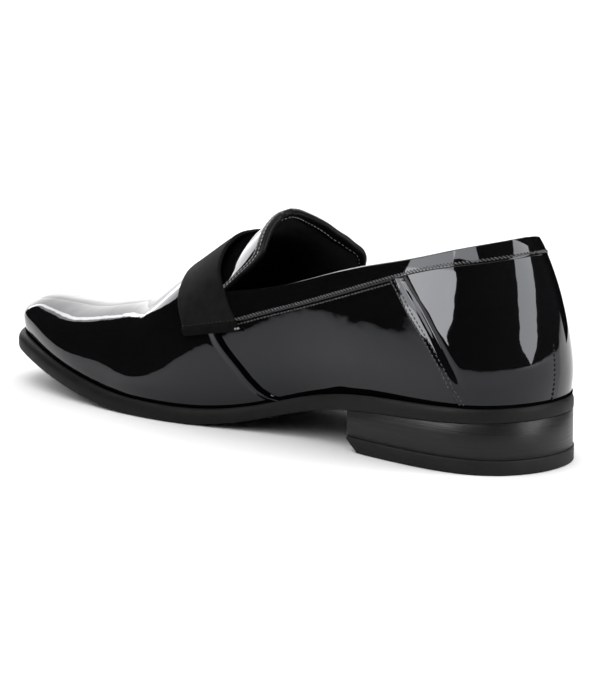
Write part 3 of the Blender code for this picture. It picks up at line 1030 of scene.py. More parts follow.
def quarter_way(column, row):
    """Way of a column that runs between the vamp seam, the counter's edge, the crease and the back."""
    lines = np.stack([vamp_seam(row) + UNDERLAP, counter_edge(row), crease(row), np.zeros_like(row)])
    number = np.clip(column.astype(int), 0, 2)
    share = column - number
    rows = np.arange(len(row))[:, None]
    return lines[number[None, :], rows] * (1 - share) + lines[number[None, :] + 1, rows] * share


def rolled_step(distance, height, radius):
    """Edge of an upper layer: nothing in front of it, then a quarter round up to its height."""
    return height * quarter_round(distance / radius) * (distance > 0)


def pucker(distance, row):
    """Swelling of the leather beside the counter's seam, short in front of it and long behind."""
    reach = np.where(distance < 0, PUCKER_REACH[0], PUCKER_REACH[1])
    fade = (1 - ease(row, *PUCKER_FADE)) * ease(row, *PUCKER_START)
    return PUCKER * np.exp(-np.abs(distance) / reach) * fade


def wrinkled(ways, rows):
    """Small bumps and dents of the hide behind the crease."""
    total = np.zeros(np.broadcast(ways, rows).shape)
    for way, row, amount in WRINKLES:
        beside = (ways - way) * COUNTER_WAY_MM / WRINKLE_SPREAD[0]
        above = (rows - row) * WALL_ROW_MM / WRINKLE_SPREAD[1]
        total += amount * np.exp(-beside**2 - above**2)
    return total


def build_quarters():
    rows = np.linspace(0, QUARTER_TOP, QUARTER_ROWS)
    ways = quarter_way(quarter_columns, rows)
    behind_edge = (counter_edge(rows)[:, None] - ways) * COUNTER_WAY_MM
    behind_crease = (crease(rows)[:, None] - ways) * COUNTER_WAY_MM
    groove = CREASE_DEPTH * np.exp(-(behind_crease / CREASE_WIDTH)**2) * ease(rows, *CREASE_START)[:, None]
    lift = rolled_step(behind_edge, COUNTER_STEP, COUNTER_ROUND) + pucker(behind_edge, rows[:, None])
    lift = lift - groove + wrinkled(ways, rows[:, None])
    both_ways = np.hstack([ways, -ways[:, -2::-1]])
    both_lifts = np.hstack([lift, lift[:, -2::-1]])
    points = skin(both_ways, rows[:, None])
    return sheet("quarters", points, both_lifts, LEATHER, patent)


quarters = build_quarters()
print("quarters faces:", len(quarters.data.polygons))

# %% [markdown]
# ## Vamp and tongue
# The vamp covers the toe and runs on over the instep as the tongue. Its back edge lies on the quarters,
# folded over a cord, so it stands up as a round bead. One grid runs from the inner sole edge over the spine
# to the outer one, and its first columns are close together so that the bead is round.

# %% Vamp
BEAD_HEIGHT = 0.8
BEAD_PLACE = 1.9
BEAD_WIDTH = 1.3
BEAD_ROLL = 0.5
BEAD_DROP = 1.1
BEAD_GROOVE = (4.2, 0.45, 0.14)
VAMP_LIFT = 0.3
VAMP_LIFT_FADE = (6, 40)
SEAM_FADE = (0.9, 1.05)
EDGE_STEPS = np.array([
    0, 0.08, 0.2, 0.4, 0.65, 0.95, 1.3, 1.7, 2.1, 2.5, 2.9, 3.3, 3.6, 3.9, 4.2, 4.5, 4.9, 5.6, 6.8,
])
VAMP_LENGTH = 120.0
vamp_columns = np.concatenate([EDGE_STEPS / VAMP_LENGTH, np.linspace(9 / VAMP_LENGTH, 1, 96)])


def bead_lift(distance):
    """Lift of the vamp at a distance in front of its edge: rolled over, up the bead, through a groove."""
    roll = quarter_round(distance / BEAD_ROLL) - 1
    bead = BEAD_HEIGHT * np.exp(-((distance - BEAD_PLACE) / BEAD_WIDTH)**2)
    place, width, depth = BEAD_GROOVE
    groove = depth * np.exp(-((distance - place) / width)**2)
    return roll * BEAD_DROP + bead - groove + VAMP_LIFT * (1 - ease(distance, *VAMP_LIFT_FADE))


def on_seam(rows):
    """1 along the vamp's seam, fading to 0 where the tongue begins."""
    return 1 - ease(rows, *SEAM_FADE)[:, None]


def build_vamp():
    rows, side = front_rows(40, 44)
    edge = front_edge(rows, side)
    ways = edge[:, None] + (1 - edge)[:, None] * vamp_columns[None, :]
    points = skin(ways * side[:, None], rows[:, None])
    distance = (ways - edge[:, None]) * VAMP_WAY_MM
    return sheet("vamp", points, on_seam(rows) * bead_lift(distance), LEATHER, patent, flip=True)


vamp = build_vamp()
print("vamp faces:", len(vamp.data.polygons))

# %% Cut edge of the vamp, with painted shade
CUT_STEPS = np.array([-0.12, 0.0, 0.2, 0.4, 0.7, 1.1, 1.5])
CUT_LIFT = 0.12
CUT_THICKNESS = 0.3
CUT_TOP = 0.97
CUT_ROWS = 70
SIDE_NAMES = {1: "inner", -1: "outer"}


def build_vamp_cut_shade(side):
    """Matt black strip over the folded edge of the vamp, from the quarter nearly to the top of the bead:
    partly the edge's own black dressing, partly painted shade on the bead's back flank.
    """
    rows = np.linspace(0.0, CUT_TOP, CUT_ROWS)
    ways = vamp_seam(rows)[:, None] + CUT_STEPS[None, :] / VAMP_WAY_MM
    over_bead = np.maximum(bead_lift(np.maximum(CUT_STEPS, 0)), 0)
    over_bead = over_bead + CUT_LIFT * ease(CUT_STEPS, CUT_STEPS[0], 0.0)
    lift = on_seam(rows) * over_bead[None, :]
    points = skin(ways * side, rows[:, None])
    return sheet(f"vamp_cut_shade_{SIDE_NAMES[side]}", points, lift, CUT_THICKNESS, painted_shade_strip_black, flip=side > 0)


vamp_cut_shades = [build_vamp_cut_shade(side) for side in (1, -1)]
print("cut edge faces:", sum(len(piece.data.polygons) for piece in vamp_cut_shades))

# %% [markdown]
# ## Painted shade at the joint
# Where the upper meets the sole a narrow matt black strip covers the joint and paints its shade. It stands
# highest at the waist of the inner side. Its height comes from a table along the way from heel to toe.

# %% Painted shade strip at the joint
# Painted shade strip: way, height on the inner and on the outer side in millimetres
PAINTED_SHADE_STRIP = (
    (0.00, 1.0, 1.0),
    (0.12, 1.2, 1.2),
    (0.20, 1.9, 1.3),
    (0.26, 2.6, 1.4),
    (0.295, 2.7, 1.4),
    (0.315, 3.3, 1.4),
    (0.345, 2.1, 1.4),
    (0.38, 1.6, 1.4),
    (0.42, 1.4, 1.4),
    (0.60, 1.2, 1.2),
    (1.00, 0.9, 0.9),
)
# Section of the painted shade strip: share of its height, millimetres off the skin
PAINTED_SHADE_STRIP_SECTION = ((0.0, 0.5), (0.5, 0.5), (0.8, 0.42), (0.95, 0.25), (1.0, 0.03))
PAINTED_SHADE_STRIP_SKIN = 0.4
PAINTED_SHADE_STRIP_ROWS = 0.1
PAINTED_SHADE_STRIP_COLUMNS = 170
COUNTER_RAMP = 0.004


def build_painted_shade_strip():
    half = np.linspace(0, 1, PAINTED_SHADE_STRIP_COLUMNS)
    ways = both_sides(half)
    tables = [np.interp(half, [row[0] for row in PAINTED_SHADE_STRIP], [row[side] for row in PAINTED_SHADE_STRIP]) for side in (1, 2)]
    heights = np.concatenate([tables[0], tables[1][-2::-1]])
    rows = np.linspace(0, PAINTED_SHADE_STRIP_ROWS, 40)
    climb = skin(ways[None, :], rows[:, None])[..., 2]
    climb = climb - climb[0]
    over_counter_step = COUNTER_STEP * ease(counter_edge(0.0) - np.abs(ways), -COUNTER_RAMP, COUNTER_RAMP)
    strip = []
    for share, lift in PAINTED_SHADE_STRIP_SECTION:
        row = np.array([np.interp(height * share, climb[:, c], rows) for c, height in enumerate(heights)])
        point, normal, up = skin_frame(ways, row)
        strip.append(point + normal * (lift + over_counter_step)[:, None])
    return sheet("painted_shade_strip", np.array(strip), 0.0, PAINTED_SHADE_STRIP_SKIN, painted_shade_strip_black, flip=True)


painted_shade_strip = build_painted_shade_strip()
print("rand faces:", len(painted_shade_strip.data.polygons))

# %% [markdown]
# ## Lining
# Inside, the shoe is lined with thin leather. It is the same skin, drawn in by a little more than the
# thickness of the outer leather. It is seen from above and inside the tongue, and it closes the wall there.

# %% Lining
LINING_DEPTH = 1.3
LINING_THICKNESS = 0.9
LINING_PAST_THROAT = 0.006
LINING_BEHIND_EDGE = 0.004


def build_lining():
    low = np.linspace(0, 0.99, 40)
    ways = both_sides(np.linspace(THROAT + LINING_PAST_THROAT, 0, 70))
    back = sheet("lining_back", skin(ways[None, :], low[:, None]), -LINING_DEPTH, LINING_THICKNESS, lining)
    rows, side = front_rows(30, 34)
    edge = tongue_edge(np.maximum(rows, 1), side) + LINING_BEHIND_EDGE
    front_ways = edge[:, None] + (1 - edge)[:, None] * np.linspace(0, 1, 60)[None, :]
    points = skin(front_ways * side[:, None], rows[:, None])
    front = sheet("lining_front", points, -LINING_DEPTH, LINING_THICKNESS, lining, flip=True)
    return back, front


lining_back, lining_front = build_lining()
print("lining faces:", len(lining_back.data.polygons) + len(lining_front.data.polygons))

# %% [markdown]
# ## Collar band and tongue edge
# A band of the same leather is folded over the topline and sewn down, and a narrow fold closes the tongue's
# edge. Both are strips swept along an edge: up the outside, round it in a half circle, and down the inside.

# %% Folded bands
BAND_LIFT = 0.75
BAND_INSIDE = -2.35
BAND_INSIDE_ROW = 0.88
BAND_ROUND = 0.9
BAND_FLAT = 3.0
TONGUE_LIFT = 1.0
TONGUE_INSIDE = -2.5
FOLD_ARC = np.linspace(0, np.pi, 11)[1:-1]
FOLD_SKIN = 0.9


def folded_strip(name, outside, edge, normal, outward, inside, lifts, material, flip=False):
    """Strip through rows of points outside, a half circle round the edge, and rows inside."""
    middle = sum(lifts) / 2
    radius = (lifts[0] - lifts[1]) / 2
    arc = [edge + normal * (middle + radius * np.cos(a)) + outward * radius * np.sin(a) for a in FOLD_ARC]
    return sheet(name, np.array(outside + arc + inside), 0.0, FOLD_SKIN, material, flip=flip)


def build_collar_band():
    ways = both_sides(np.linspace(THROAT, 0, 110))
    low = band_edge(np.abs(ways))
    outside = []
    for distance in (0.0, 0.06, 0.18, 0.36, 0.6, 0.9, 1.4, 2.2):
        row = low + distance / WALL_ROW_MM
        point, normal, up = skin_frame(ways, row)
        outside.append(point + normal * BAND_LIFT * quarter_round(distance / BAND_ROUND))
    for share in np.linspace(0.08, QUARTER_TOP, 22):
        row = low + (1 - low) * share
        point, normal, up = skin_frame(ways, np.maximum(row, low + BAND_FLAT / WALL_ROW_MM))
        outside.append(point + normal * BAND_LIFT)
    edge, normal, up = skin_frame(ways, np.full(ways.shape, QUARTER_TOP))
    inside = []
    for row in np.linspace(QUARTER_TOP, BAND_INSIDE_ROW, 8):
        point, inner_normal, inner_up = skin_frame(ways, np.full(ways.shape, row))
        inside.append(point + inner_normal * BAND_INSIDE)
    lifts = (BAND_LIFT, BAND_INSIDE)
    return folded_strip("collar_band", outside, edge, normal, up, inside, lifts, patent)


collar_band = build_collar_band()
print("collar band faces:", len(collar_band.data.polygons))

# %% Tongue fold
FOLD_WIDTH = 4.0
FOLD_RADIUS = (TONGUE_LIFT - TONGUE_INSIDE) / 2
FOLD_ROUND = 0.8
FOLD_INSIDE_END = 3.1
FOLD_INSIDE_ROUND = 0.6
FOLD_INSIDE_DROP = 0.4


def tongue_path(distance):
    """Line along the tongue's edge at a distance in front of it: points, normals, direction off it."""
    rows, side = front_rows(3, 110, 0.98)
    edge = tongue_edge(rows, side)
    point, normal, up = skin_frame((edge + distance / TONGUE_WAY_MM) * side, rows)
    ahead = skin((edge + (distance + 1.0) / TONGUE_WAY_MM) * side, rows)
    return point, normal, unit(point - ahead)


def build_tongue_fold():
    outside = []
    for inwards in (0.0, 0.06, 0.2, 0.45, 0.8, 1.4, 2.1, 2.6):
        point, normal, off = tongue_path(FOLD_WIDTH - inwards)
        outside.append(point + normal * TONGUE_LIFT * quarter_round(inwards / FOLD_ROUND))
    edge, edge_normal, off = tongue_path(FOLD_RADIUS - FOLD_SKIN)
    inside = []
    for distance in (1.5, 2.2, 2.6, 2.9, FOLD_INSIDE_END):
        point, normal, off_inside = tongue_path(distance)
        rounded = quarter_round((FOLD_INSIDE_END - distance) / FOLD_INSIDE_ROUND)
        inside.append(point + normal * (TONGUE_INSIDE + FOLD_INSIDE_DROP * (1 - rounded)))
    lifts = (TONGUE_LIFT, TONGUE_INSIDE)
    return folded_strip("tongue_fold", outside, edge, edge_normal, off, inside, lifts, edge_dressing,
                        flip=True)


tongue_fold = build_tongue_fold()
print("tongue fold faces:", len(tongue_fold.data.polygons))

# %% [markdown]
# ## Strap
# The strap is a matt ribbon laid over the instep from side to side. It is a sheet that follows the skin at
# a small distance, with rounded long edges. Its map runs in millimetres along and across, for the ribs.

# %% Strap
# Strap: how far down the wall from the spine, squared, station of its back edge, station of its front edge
STRAP = (
    (0.00, 165.5, 191.0),
    (0.06, 165.5, 189.5),
    (0.12, 164.6, 187.4),
    (0.20, 162.2, 185.6),
    (0.30, 158.3, 182.8),
    (0.42, 153.3, 178.9),
    (0.53, 147.6, 175.3),
    (0.60, 144.6, 173.0),
)
# Places up the wall where the strap ends, at its back edge and at its front edge
STRAP_END = (0.238, 0.272)
STRAP_CLEARANCE = 0.15
STRAP_THICKNESS = 1.4
STRAP_EDGE = 1.2
STRAP_EDGE_THICKNESS = 0.5
STRAP_ROWS = 70
STRAP_EDGE_STEPS = np.array([0.0, 0.12, 0.3, 0.55, 0.85, 1.2, 1.6, 2.2, 3.2])
STRAP_WIDTH = 27.0
HEM_WIDTH = 4.6
HEM_LIFT = 0.7
HEM_ROUND = 1.2
HEM_THICKNESS = 0.6
HEM_SUNK = 0.2


def at_places(path, places, wanted):
    """Points of a path, given at some places, at other places."""
    return np.stack([np.interp(wanted, places, path[:, k]) for k in range(3)], -1)


def strap_half(wall, columns):
    """Rows of one half of the strap from its slanted end to the spine."""
    back = smooth_through(STRAP, 1)
    front = smooth_through(STRAP, 2)
    places = np.linspace(STRAP_END[0], 1, STRAP_ROWS + 1)
    rows = []
    for place in places:
        drop = (1 - place)**2
        stations = back(drop) + (front(drop) - back(drop)) * columns
        rows.append(in_frame(wall.at(wall.way_at(stations, place), place, dipped=False)))
    rows = np.array(rows)
    slanted = []
    for c, start in enumerate(STRAP_END[0] + (STRAP_END[1] - STRAP_END[0]) * columns):
        wanted = np.linspace(start, 1, STRAP_ROWS + 1)
        slanted.append(at_places(rows[:, c], places, wanted))
    return np.stack(slanted, 1)


def strap_points(columns, lift):
    """Grid of the strap: rows from the inner end over the spine to the outer end."""
    grid = np.vstack([strap_half(walls[0], columns), strap_half(walls[1], columns)[-2::-1]])
    normal = unit(np.cross(np.gradient(grid, axis=0), np.gradient(grid, axis=1)))
    return grid + normal * lift


def build_strap():
    edge = STRAP_EDGE_STEPS / STRAP_WIDTH
    columns = np.concatenate([edge, np.linspace(0.16, 0.84, 14), (1 - edge)[::-1]])
    grid = strap_points(columns, STRAP_CLEARANCE)
    from_edge = np.minimum(columns, 1 - columns) * STRAP_WIDTH
    thickness = STRAP_EDGE_THICKNESS
    thickness = thickness + (STRAP_THICKNESS - STRAP_EDGE_THICKNESS) * quarter_round(from_edge / STRAP_EDGE)
    uv = np.stack(np.meshgrid(columns * STRAP_WIDTH, run_of(grid.mean(1)))[::-1], -1)
    return sheet("strap_ribbon", grid, thickness[None, :], thickness[None, :], ribbon, flip=True, uv=uv)


def build_strap_hems():
    """Ends of the strap folded back over it: two short sheets on top of the ribbon."""
    columns = np.linspace(0, 1, 24)
    grid = strap_points(columns, STRAP_CLEARANCE + STRAP_THICKNESS - HEM_SUNK)
    run = run_of(grid.mean(1))
    hems = []
    ends = (("first", run < HEM_WIDTH, run), ("last", run > run[-1] - HEM_WIDTH, run[-1] - run))
    for end, kept, distance in ends:
        lift = HEM_LIFT * quarter_round((HEM_WIDTH - distance[kept]) / HEM_ROUND)
        uv = np.stack(np.meshgrid(columns * STRAP_WIDTH, run[kept])[::-1], -1)
        # The hems take the darker ribbon, painted shade of the strap's low ends
        hems.append(sheet(f"strap_hem_{end}", grid[kept], lift[:, None], HEM_THICKNESS, shaded_hem_ribbon,
                          flip=True, uv=uv))
    return hems


strap = build_strap()
strap_hems = build_strap_hems()
print("strap faces:", len(strap.data.polygons))

# %% [markdown]
# ## Stitches
# Sewing repeats one small shape along a line, which is what Geometry Nodes do best. The tree takes a bare
# line of edges, turns it into a curve, spaces points on it at the stitch pitch and puts a small round-ended
# stitch on each point, turned along the line. The result is realised and kept as a plain mesh.

# %% Stitch tree
def new_tree(name, inputs):
    """Geometry tree with a geometry input and named inputs; returns it and its two end nodes."""
    tree = bpy.data.node_groups.new(name, "GeometryNodeTree")
    tree.interface.new_socket("Geometry", in_out="INPUT", socket_type="NodeSocketGeometry")
    for label, kind, value in inputs:
        socket = tree.interface.new_socket(label, in_out="INPUT", socket_type=kind)
        if value is not None:
            socket.default_value = value
    tree.interface.new_socket("Geometry", in_out="OUTPUT", socket_type="NodeSocketGeometry")
    return tree, tree.nodes.new("NodeGroupInput"), tree.nodes.new("NodeGroupOutput")


def stitch_tree():
    tree, start, end = new_tree("stitches on a line", (
        ("Pitch", "NodeSocketFloat", 0.0022),
        ("Length", "NodeSocketFloat", 0.0016),
        ("Width", "NodeSocketFloat", 0.0005),
        ("Slant", "NodeSocketFloat", 0.0),
        ("Material", "NodeSocketMaterial", None),
    ))
    node = tree.nodes.new
    link = tree.links.new
    curve = node("GeometryNodeMeshToCurve")
    spaced = node("GeometryNodeResampleCurve")
    spaced.mode = "LENGTH"
    stitch = node("GeometryNodeMeshUVSphere")
    stitch.inputs["Segments"].default_value = 8
    stitch.inputs["Rings"].default_value = 5
    stitch.inputs["Radius"].default_value = 0.5
    size = node("ShaderNodeCombineXYZ")
    stretch = node("GeometryNodeTransform")
    tangent = node("GeometryNodeInputTangent")
    turn = node("FunctionNodeAlignRotationToVector")
    turn.axis = "X"
    place = node("GeometryNodeInstanceOnPoints")
    tilt = node("ShaderNodeCombineXYZ")
    slant = node("FunctionNodeEulerToRotation")
    slanted = node("GeometryNodeRotateInstances")
    slanted.inputs["Local Space"].default_value = True
    real = node("GeometryNodeRealizeInstances")
    smooth = node("GeometryNodeSetShadeSmooth")
    paint = node("GeometryNodeSetMaterial")
    link(start.outputs["Geometry"], curve.inputs["Mesh"])
    link(curve.outputs["Curve"], spaced.inputs["Curve"])
    link(start.outputs["Pitch"], spaced.inputs["Length"])
    link(start.outputs["Length"], size.inputs["X"])
    link(start.outputs["Width"], size.inputs["Y"])
    link(start.outputs["Width"], size.inputs["Z"])
    link(stitch.outputs["Mesh"], stretch.inputs["Geometry"])
    link(size.outputs["Vector"], stretch.inputs["Scale"])
    link(tangent.outputs["Tangent"], turn.inputs["Vector"])
    link(spaced.outputs["Curve"], place.inputs["Points"])
    link(stretch.outputs["Geometry"], place.inputs["Instance"])
    link(turn.outputs["Rotation"], place.inputs["Rotation"])
    link(start.outputs["Slant"], tilt.inputs["Y"])
    link(tilt.outputs["Vector"], slant.inputs["Euler"])
    link(place.outputs["Instances"], slanted.inputs["Instances"])
    link(slant.outputs["Rotation"], slanted.inputs["Rotation"])
    link(slanted.outputs["Instances"], real.inputs["Geometry"])
    link(real.outputs["Geometry"], smooth.inputs["Geometry"])
    link(smooth.outputs["Geometry"], paint.inputs["Geometry"])
    link(start.outputs["Material"], paint.inputs["Material"])
    link(paint.outputs["Geometry"], end.inputs["Geometry"])
    return tree


def grow(name, paths, tree, **values):
    """Piece that a tree grows on lines of points given in millimetres, as a plain mesh."""
    points = np.vstack(paths) * MILLIMETRE
    edges = []
    start = 0
    for path in paths:
        edges += [(start + i, start + i + 1) for i in range(len(path) - 1)]
        start += len(path)
    mesh = bpy.data.meshes.new(name)
    mesh.from_pydata(points.tolist(), edges, [])
    piece = bpy.data.objects.new(name, mesh)
    scene.collection.objects.link(piece)
    modifier = piece.modifiers.new("tree", "NODES")
    modifier.node_group = tree
    for item in tree.interface.items_tree:
        if item.in_out == "INPUT" and item.name in values:
            modifier[item.identifier] = values[item.name]
    graph = bpy.context.evaluated_depsgraph_get()
    grown = bpy.data.meshes.new_from_object(piece.evaluated_get(graph))
    piece.modifiers.clear()
    piece.data = grown
    return piece


stitches_on_line = stitch_tree()
print("stitch tree nodes:", len(stitches_on_line.nodes))

# %% Rows of stitches on the upper
# Millimetres of each row from its edge; the rope lies on the band and the other row just below it
COUNTER_STITCHES = (0.9, 2.4)
TONGUE_STITCHES = (1.3, 2.9)
INSIDE_STITCHES = 2.0
BAND_STITCHES = -1.1
BAND_STITCH_LIFT = 0.1
BAND_ROPE = 1.6
BAND_ROW_SHORT = 0.02
ROPE_SLANT = 0.6
BACK_STITCH_WAY = 0.004
BACK_STITCH_TOP = 0.28


def on_skin(ways, rows, lift):
    point, normal, up = skin_frame(np.asarray(ways, float), np.asarray(rows, float))
    return point + normal * np.reshape(lift, (-1, 1))


def counter_row(side, distance):
    rows = np.linspace(0.01, 0.83, 80)
    ways = counter_edge(rows) - distance / COUNTER_WAY_MM
    return on_skin(ways * side, rows, COUNTER_STEP + pucker(distance, rows))


def band_row(distance, lift):
    ways = both_sides(np.linspace(THROAT - BAND_ROW_SHORT, 0, 160))
    return on_skin(ways, band_edge(np.abs(ways)) + distance / WALL_ROW_MM, lift)


def back_row(way, top):
    rows = np.linspace(0.01, top, 60)
    return on_skin(np.full(rows.shape, way), rows, COUNTER_STEP)


def tongue_row(distance, lift):
    point, normal, off = tongue_path(distance)
    return point + normal * lift


counter_rows = [counter_row(side, distance) for side in (1, -1) for distance in COUNTER_STITCHES]
upper_stitches = grow("upper_stitches", counter_rows, stitches_on_line,
                      Pitch=0.0021, Length=0.0016, Width=0.0006, Material=thread)
back_stitches = grow("back_stitches", [back_row(BACK_STITCH_WAY, BACK_STITCH_TOP)], stitches_on_line,
                     Pitch=0.0020, Length=0.0017, Width=0.0012, Material=edge_dressing)
# The tongue's rows are pale: painted glints of the thread
tongue_rows = [tongue_row(distance, TONGUE_LIFT) for distance in TONGUE_STITCHES]
tongue_stitches = grow("tongue_stitches", tongue_rows, stitches_on_line,
                       Pitch=0.0019, Length=0.0015, Width=0.0005, Material=glint_painted_thread)
inside_stitches = grow("inside_stitches", [tongue_row(INSIDE_STITCHES, TONGUE_INSIDE)], stitches_on_line,
                       Pitch=0.0021, Length=0.0015, Width=0.0006, Material=glint_painted_thread)
band_stitches = grow("band_stitches", [band_row(BAND_STITCHES, BAND_STITCH_LIFT)], stitches_on_line,
                     Pitch=0.0019, Length=0.0019, Width=0.0008, Material=thread)
band_rope = grow("band_rope", [band_row(BAND_ROPE, BAND_LIFT)], stitches_on_line,
                 Pitch=0.0017, Length=0.0024, Width=0.0008, Slant=ROPE_SLANT, Material=dark_grey_thread)
print("stitch faces:", len(upper_stitches.data.polygons) + len(band_stitches.data.polygons))

# %% Stitches on the strap
STRAP_STITCHES = 5.0


def strap_rows(from_end):
    """Lines across the strap at a distance from each end."""
    grid = strap_points(np.linspace(0.05, 0.95, 40), STRAP_CLEARANCE + STRAP_THICKNESS)
    run = run_of(grid.mean(1))
    columns = grid.transpose(1, 0, 2)
    wanted = (from_end, run[-1] - from_end)
    return [np.stack([at_places(column, run, at) for column in columns]) for at in wanted]


strap_stitches = grow("strap_stitches", strap_rows(STRAP_STITCHES), stitches_on_line,
                      Pitch=0.0020, Length=0.0015, Width=0.00045, Material=edge_dressing)


def strap_corners():
    """Short lines at the back corners of the strap, each as long as one knot."""
    grid = strap_points(np.array([0.01, 0.05]), STRAP_CLEARANCE + STRAP_THICKNESS)
    return [grid[1], grid[-2]]


# The knots are pale: a painted glint at each back corner of the strap
strap_knots = grow("strap_knots", strap_corners(), stitches_on_line,
                   Pitch=0.0020, Length=0.0016, Width=0.0015, Material=glint_painted_thread)
print("strap stitch faces:", len(strap_stitches.data.polygons), "knots:", len(strap_knots.data.polygons))

# %% [markdown]
# ## Floor, lamps and flag
# A glossy black thing is drawn by what it mirrors. The floor is white, so the lower side of the shoe
# mirrors it as dark grey. The studio is dark between a few large soft lamps: one across from the camera,
# one behind the heel and one above. Cards are lamps that are only mirrored: they whiten the toe, the instep
# and the tongue and make the patches of light on the counter and the collar. The fill lamp is never
# mirrored and lights only what is matt. A black flag keeps the lamp across from the camera out of the back
# of the heel. The floor behind that lamp gets little light, so there it is mirrored but not seen.

# %% Floor and world
scene.view_settings.view_transform = "Standard"
FLOOR_SEEN = 1.7
FLOOR_RADIUS = 2.6
FLOOR_SIDES = 96
FLOOR_HEIGHT = -0.0002


def white_floor():
    """Pale matt floor that is clear when seen from below."""
    material, shader = new_material("white floor", 0.9, 0.0)
    shader.inputs["Base Color"].default_value = (0.9, 0.9, 0.9, 1.0)
    nodes = material.node_tree.nodes
    link = material.node_tree.links.new
    side = nodes.new("ShaderNodeNewGeometry")
    clear = nodes.new("ShaderNodeBsdfTransparent")
    mix = nodes.new("ShaderNodeMixShader")
    link(side.outputs["Backfacing"], mix.inputs["Fac"])
    link(shader.outputs["BSDF"], mix.inputs[1])
    link(clear.outputs["BSDF"], mix.inputs[2])
    link(mix.outputs["Shader"], nodes["Material Output"].inputs["Surface"])
    return material


def floor_circle(radius):
    turns = np.linspace(0, 2 * np.pi, FLOOR_SIDES, endpoint=False)
    return [(radius * np.cos(t), radius * np.sin(t), FLOOR_HEIGHT) for t in turns]


def add_stage(name, points, faces, material):
    """Flat piece of the studio, which is no part of the shoe."""
    mesh = bpy.data.meshes.new(name)
    mesh.from_pydata(points, [], faces)
    mesh.materials.append(material)
    part = bpy.data.objects.new(name, mesh)
    scene.collection.objects.link(part)
    return part


floor_paint = white_floor()
sides = range(FLOOR_SIDES)
add_stage("floor", floor_circle(FLOOR_SEEN), [tuple(sides)], floor_paint)
ring = [(k, k + FLOOR_SIDES, (k + 1) % FLOOR_SIDES + FLOOR_SIDES, (k + 1) % FLOOR_SIDES) for k in sides]
ring_points = floor_circle(FLOOR_SEEN) + floor_circle(FLOOR_RADIUS)
far_floor = add_stage("far_floor", ring_points, ring, floor_paint)
far_floor.visible_camera = False

world = bpy.data.worlds.new("studio")
world.use_nodes = True
scene.world = world
world_nodes = world.node_tree.nodes
world_link = world.node_tree.links.new
dark = world_nodes["Background"]
dark.inputs["Color"].default_value = (0.02, 0.02, 0.021, 1.0)
white = world_nodes.new("ShaderNodeBackground")
white.inputs["Color"].default_value = (1.1, 1.1, 1.1, 1.0)
rays = world_nodes.new("ShaderNodeLightPath")
either = world_nodes.new("ShaderNodeMixShader")
world_link(rays.outputs["Is Camera Ray"], either.inputs["Fac"])
world_link(dark.outputs["Background"], either.inputs[1])
world_link(white.outputs["Background"], either.inputs[2])
world_link(either.outputs["Shader"], world_nodes["World Output"].inputs["Surface"])
print("floor and world ready")

# %% Lamps
# Lamps: name, heading from +X in degrees, height angle, roll, distance, width, height, brightness, aim
LAMPS = (
    ("lamp_behind", -141.0, 22.0, 0.0, 1.7, 2.5, 1.7, 2.6, (0.0, 0.0, 0.05)),
    ("toe_card", -113.0, 30.0, 0.0, 1.65, 0.55, 1.2, 1.3, (0.0, -0.08, 0.05)),
    ("rim_card", -103.5, 30.0, 0.0, 1.6, 0.09, 1.1, 6.0, (0.0, -0.08, 0.05)),
    ("instep_card", -90.0, 0.0, 39.4, 0.05, 0.048, 0.025, 5.0, (0.0329, -0.05, 0.0802)),
    ("lamp_heel", 106.0, 22.0, -42.0, 1.5, 0.66, 1.4, 8.5, (-0.060, 0.045, 0.140)),
    ("counter_card", 0.0, 0.0, 0.0, 0.17, 0.115, 0.042, 12.5, (0.03, 0.0175, 0.101)),
    ("collar_card", 0.0, 0.0, 0.0, 0.17, 0.108, 0.113, 7.5, (0.03, 0.014, 0.1785)),
    ("band_card", 0.0, 0.0, 17.0, 0.17, 0.14, 0.08, 7.0, (0.03, 0.122, 0.210)),
    ("tongue_card", -87.6, 21.8, 0.0, 0.129, 0.08, 0.045, 8.5, (0.02, 0.0, 0.08)),
    ("lamp_top", -60.0, 85.0, 0.0, 1.7, 1.7, 1.7, 2.6, (0.0, 0.0, 0.05)),
    ("fill_lamp", -8.0, 46.0, 0.0, 1.6, 2.6, 1.3, 1.6, (0.0, 0.0, 0.0)),
)

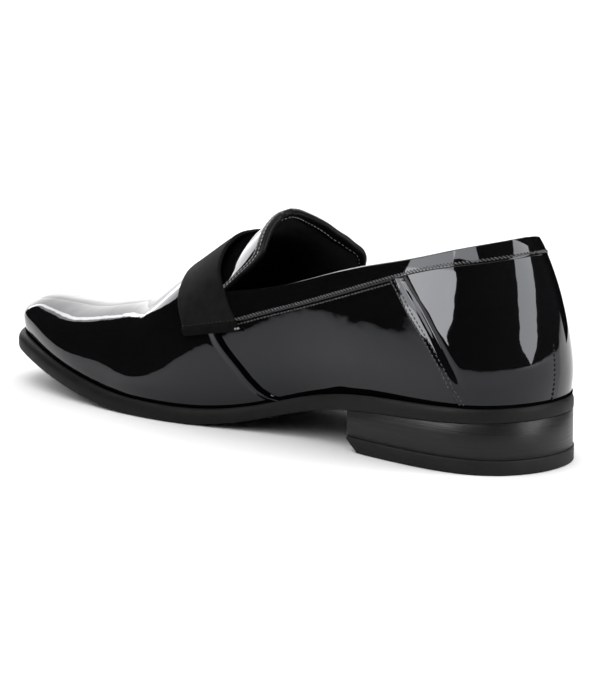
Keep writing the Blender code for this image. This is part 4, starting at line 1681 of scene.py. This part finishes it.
for name, heading, height_angle, roll, distance, width, height, brightness, aim in LAMPS:
    around = np.radians(heading)
    over = np.radians(height_angle)
    towards = Vector((np.cos(around) * np.cos(over), np.sin(around) * np.cos(over), np.sin(over)))
    data = bpy.data.lights.new(name, "AREA")
    data.shape = "RECTANGLE"
    data.size = width
    data.size_y = height
    data.energy = brightness * np.pi * width * height
    lamp = bpy.data.objects.new(name, data)
    lamp.location = Vector(aim) + towards * distance
    turned = towards.to_track_quat("Z", "Y") @ Quaternion((0, 0, 1), np.radians(roll))
    lamp.rotation_euler = turned.to_euler()
    lamp.visible_camera = False
    lamp.visible_diffuse = not name.endswith("_card")
    lamp.visible_glossy = not name.startswith("fill")
    scene.collection.objects.link(lamp)
print("lamps:", len(LAMPS))

# %% Black flag beside the heel
FLAG_PLACE = -0.15
FLAG_ALONG = (0.0, 0.15)
FLAG_UP = (0.038, 0.2)
flag_cloth, flag_shader = new_material("black flag", 1.0, 0.0)
flag_shader.inputs["Base Color"].default_value = (0.0, 0.0, 0.0, 1.0)
flag_points = [
    (FLAG_PLACE, FLAG_ALONG[0], FLAG_UP[0]),
    (FLAG_PLACE, FLAG_ALONG[1], FLAG_UP[0]),
    (FLAG_PLACE, FLAG_ALONG[1], FLAG_UP[1]),
    (FLAG_PLACE, FLAG_ALONG[0], FLAG_UP[1]),
]
flag = add_stage("flag", flag_points, [(0, 1, 2, 3)], flag_cloth)
flag.visible_camera = False
flag.visible_diffuse = False
flag.visible_shadow = False
print("flag reaches", FLAG_UP[1], "m up")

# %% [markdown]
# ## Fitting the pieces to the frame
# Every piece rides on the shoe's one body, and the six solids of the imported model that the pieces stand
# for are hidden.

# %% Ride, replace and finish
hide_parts("outsole")
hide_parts("heel_stack")
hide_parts("top_lift")
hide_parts("insole")
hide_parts("upper")
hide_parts("strap")
SLOTS = {
    "patent": (vamp, quarters, collar_band, tongue_fold, painted_shade_strip, *vamp_cut_shades, upper_stitches, back_stitches,
               band_stitches, band_rope, tongue_stitches, inside_stitches),
    "lining": (lining_back, lining_front, sock),
    "ribbon": (strap, *strap_hems, strap_stitches, strap_knots),
    "sole": (outsole,),
    "stack": (heel_stack,),
    "lift": (top_lift,),
}
for slot_name, pieces in SLOTS.items():
    for piece in pieces:
        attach(piece, "root")
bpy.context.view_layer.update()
print("triangles:", sum(len(p.data.loop_triangles) for group in SLOTS.values() for p in group))
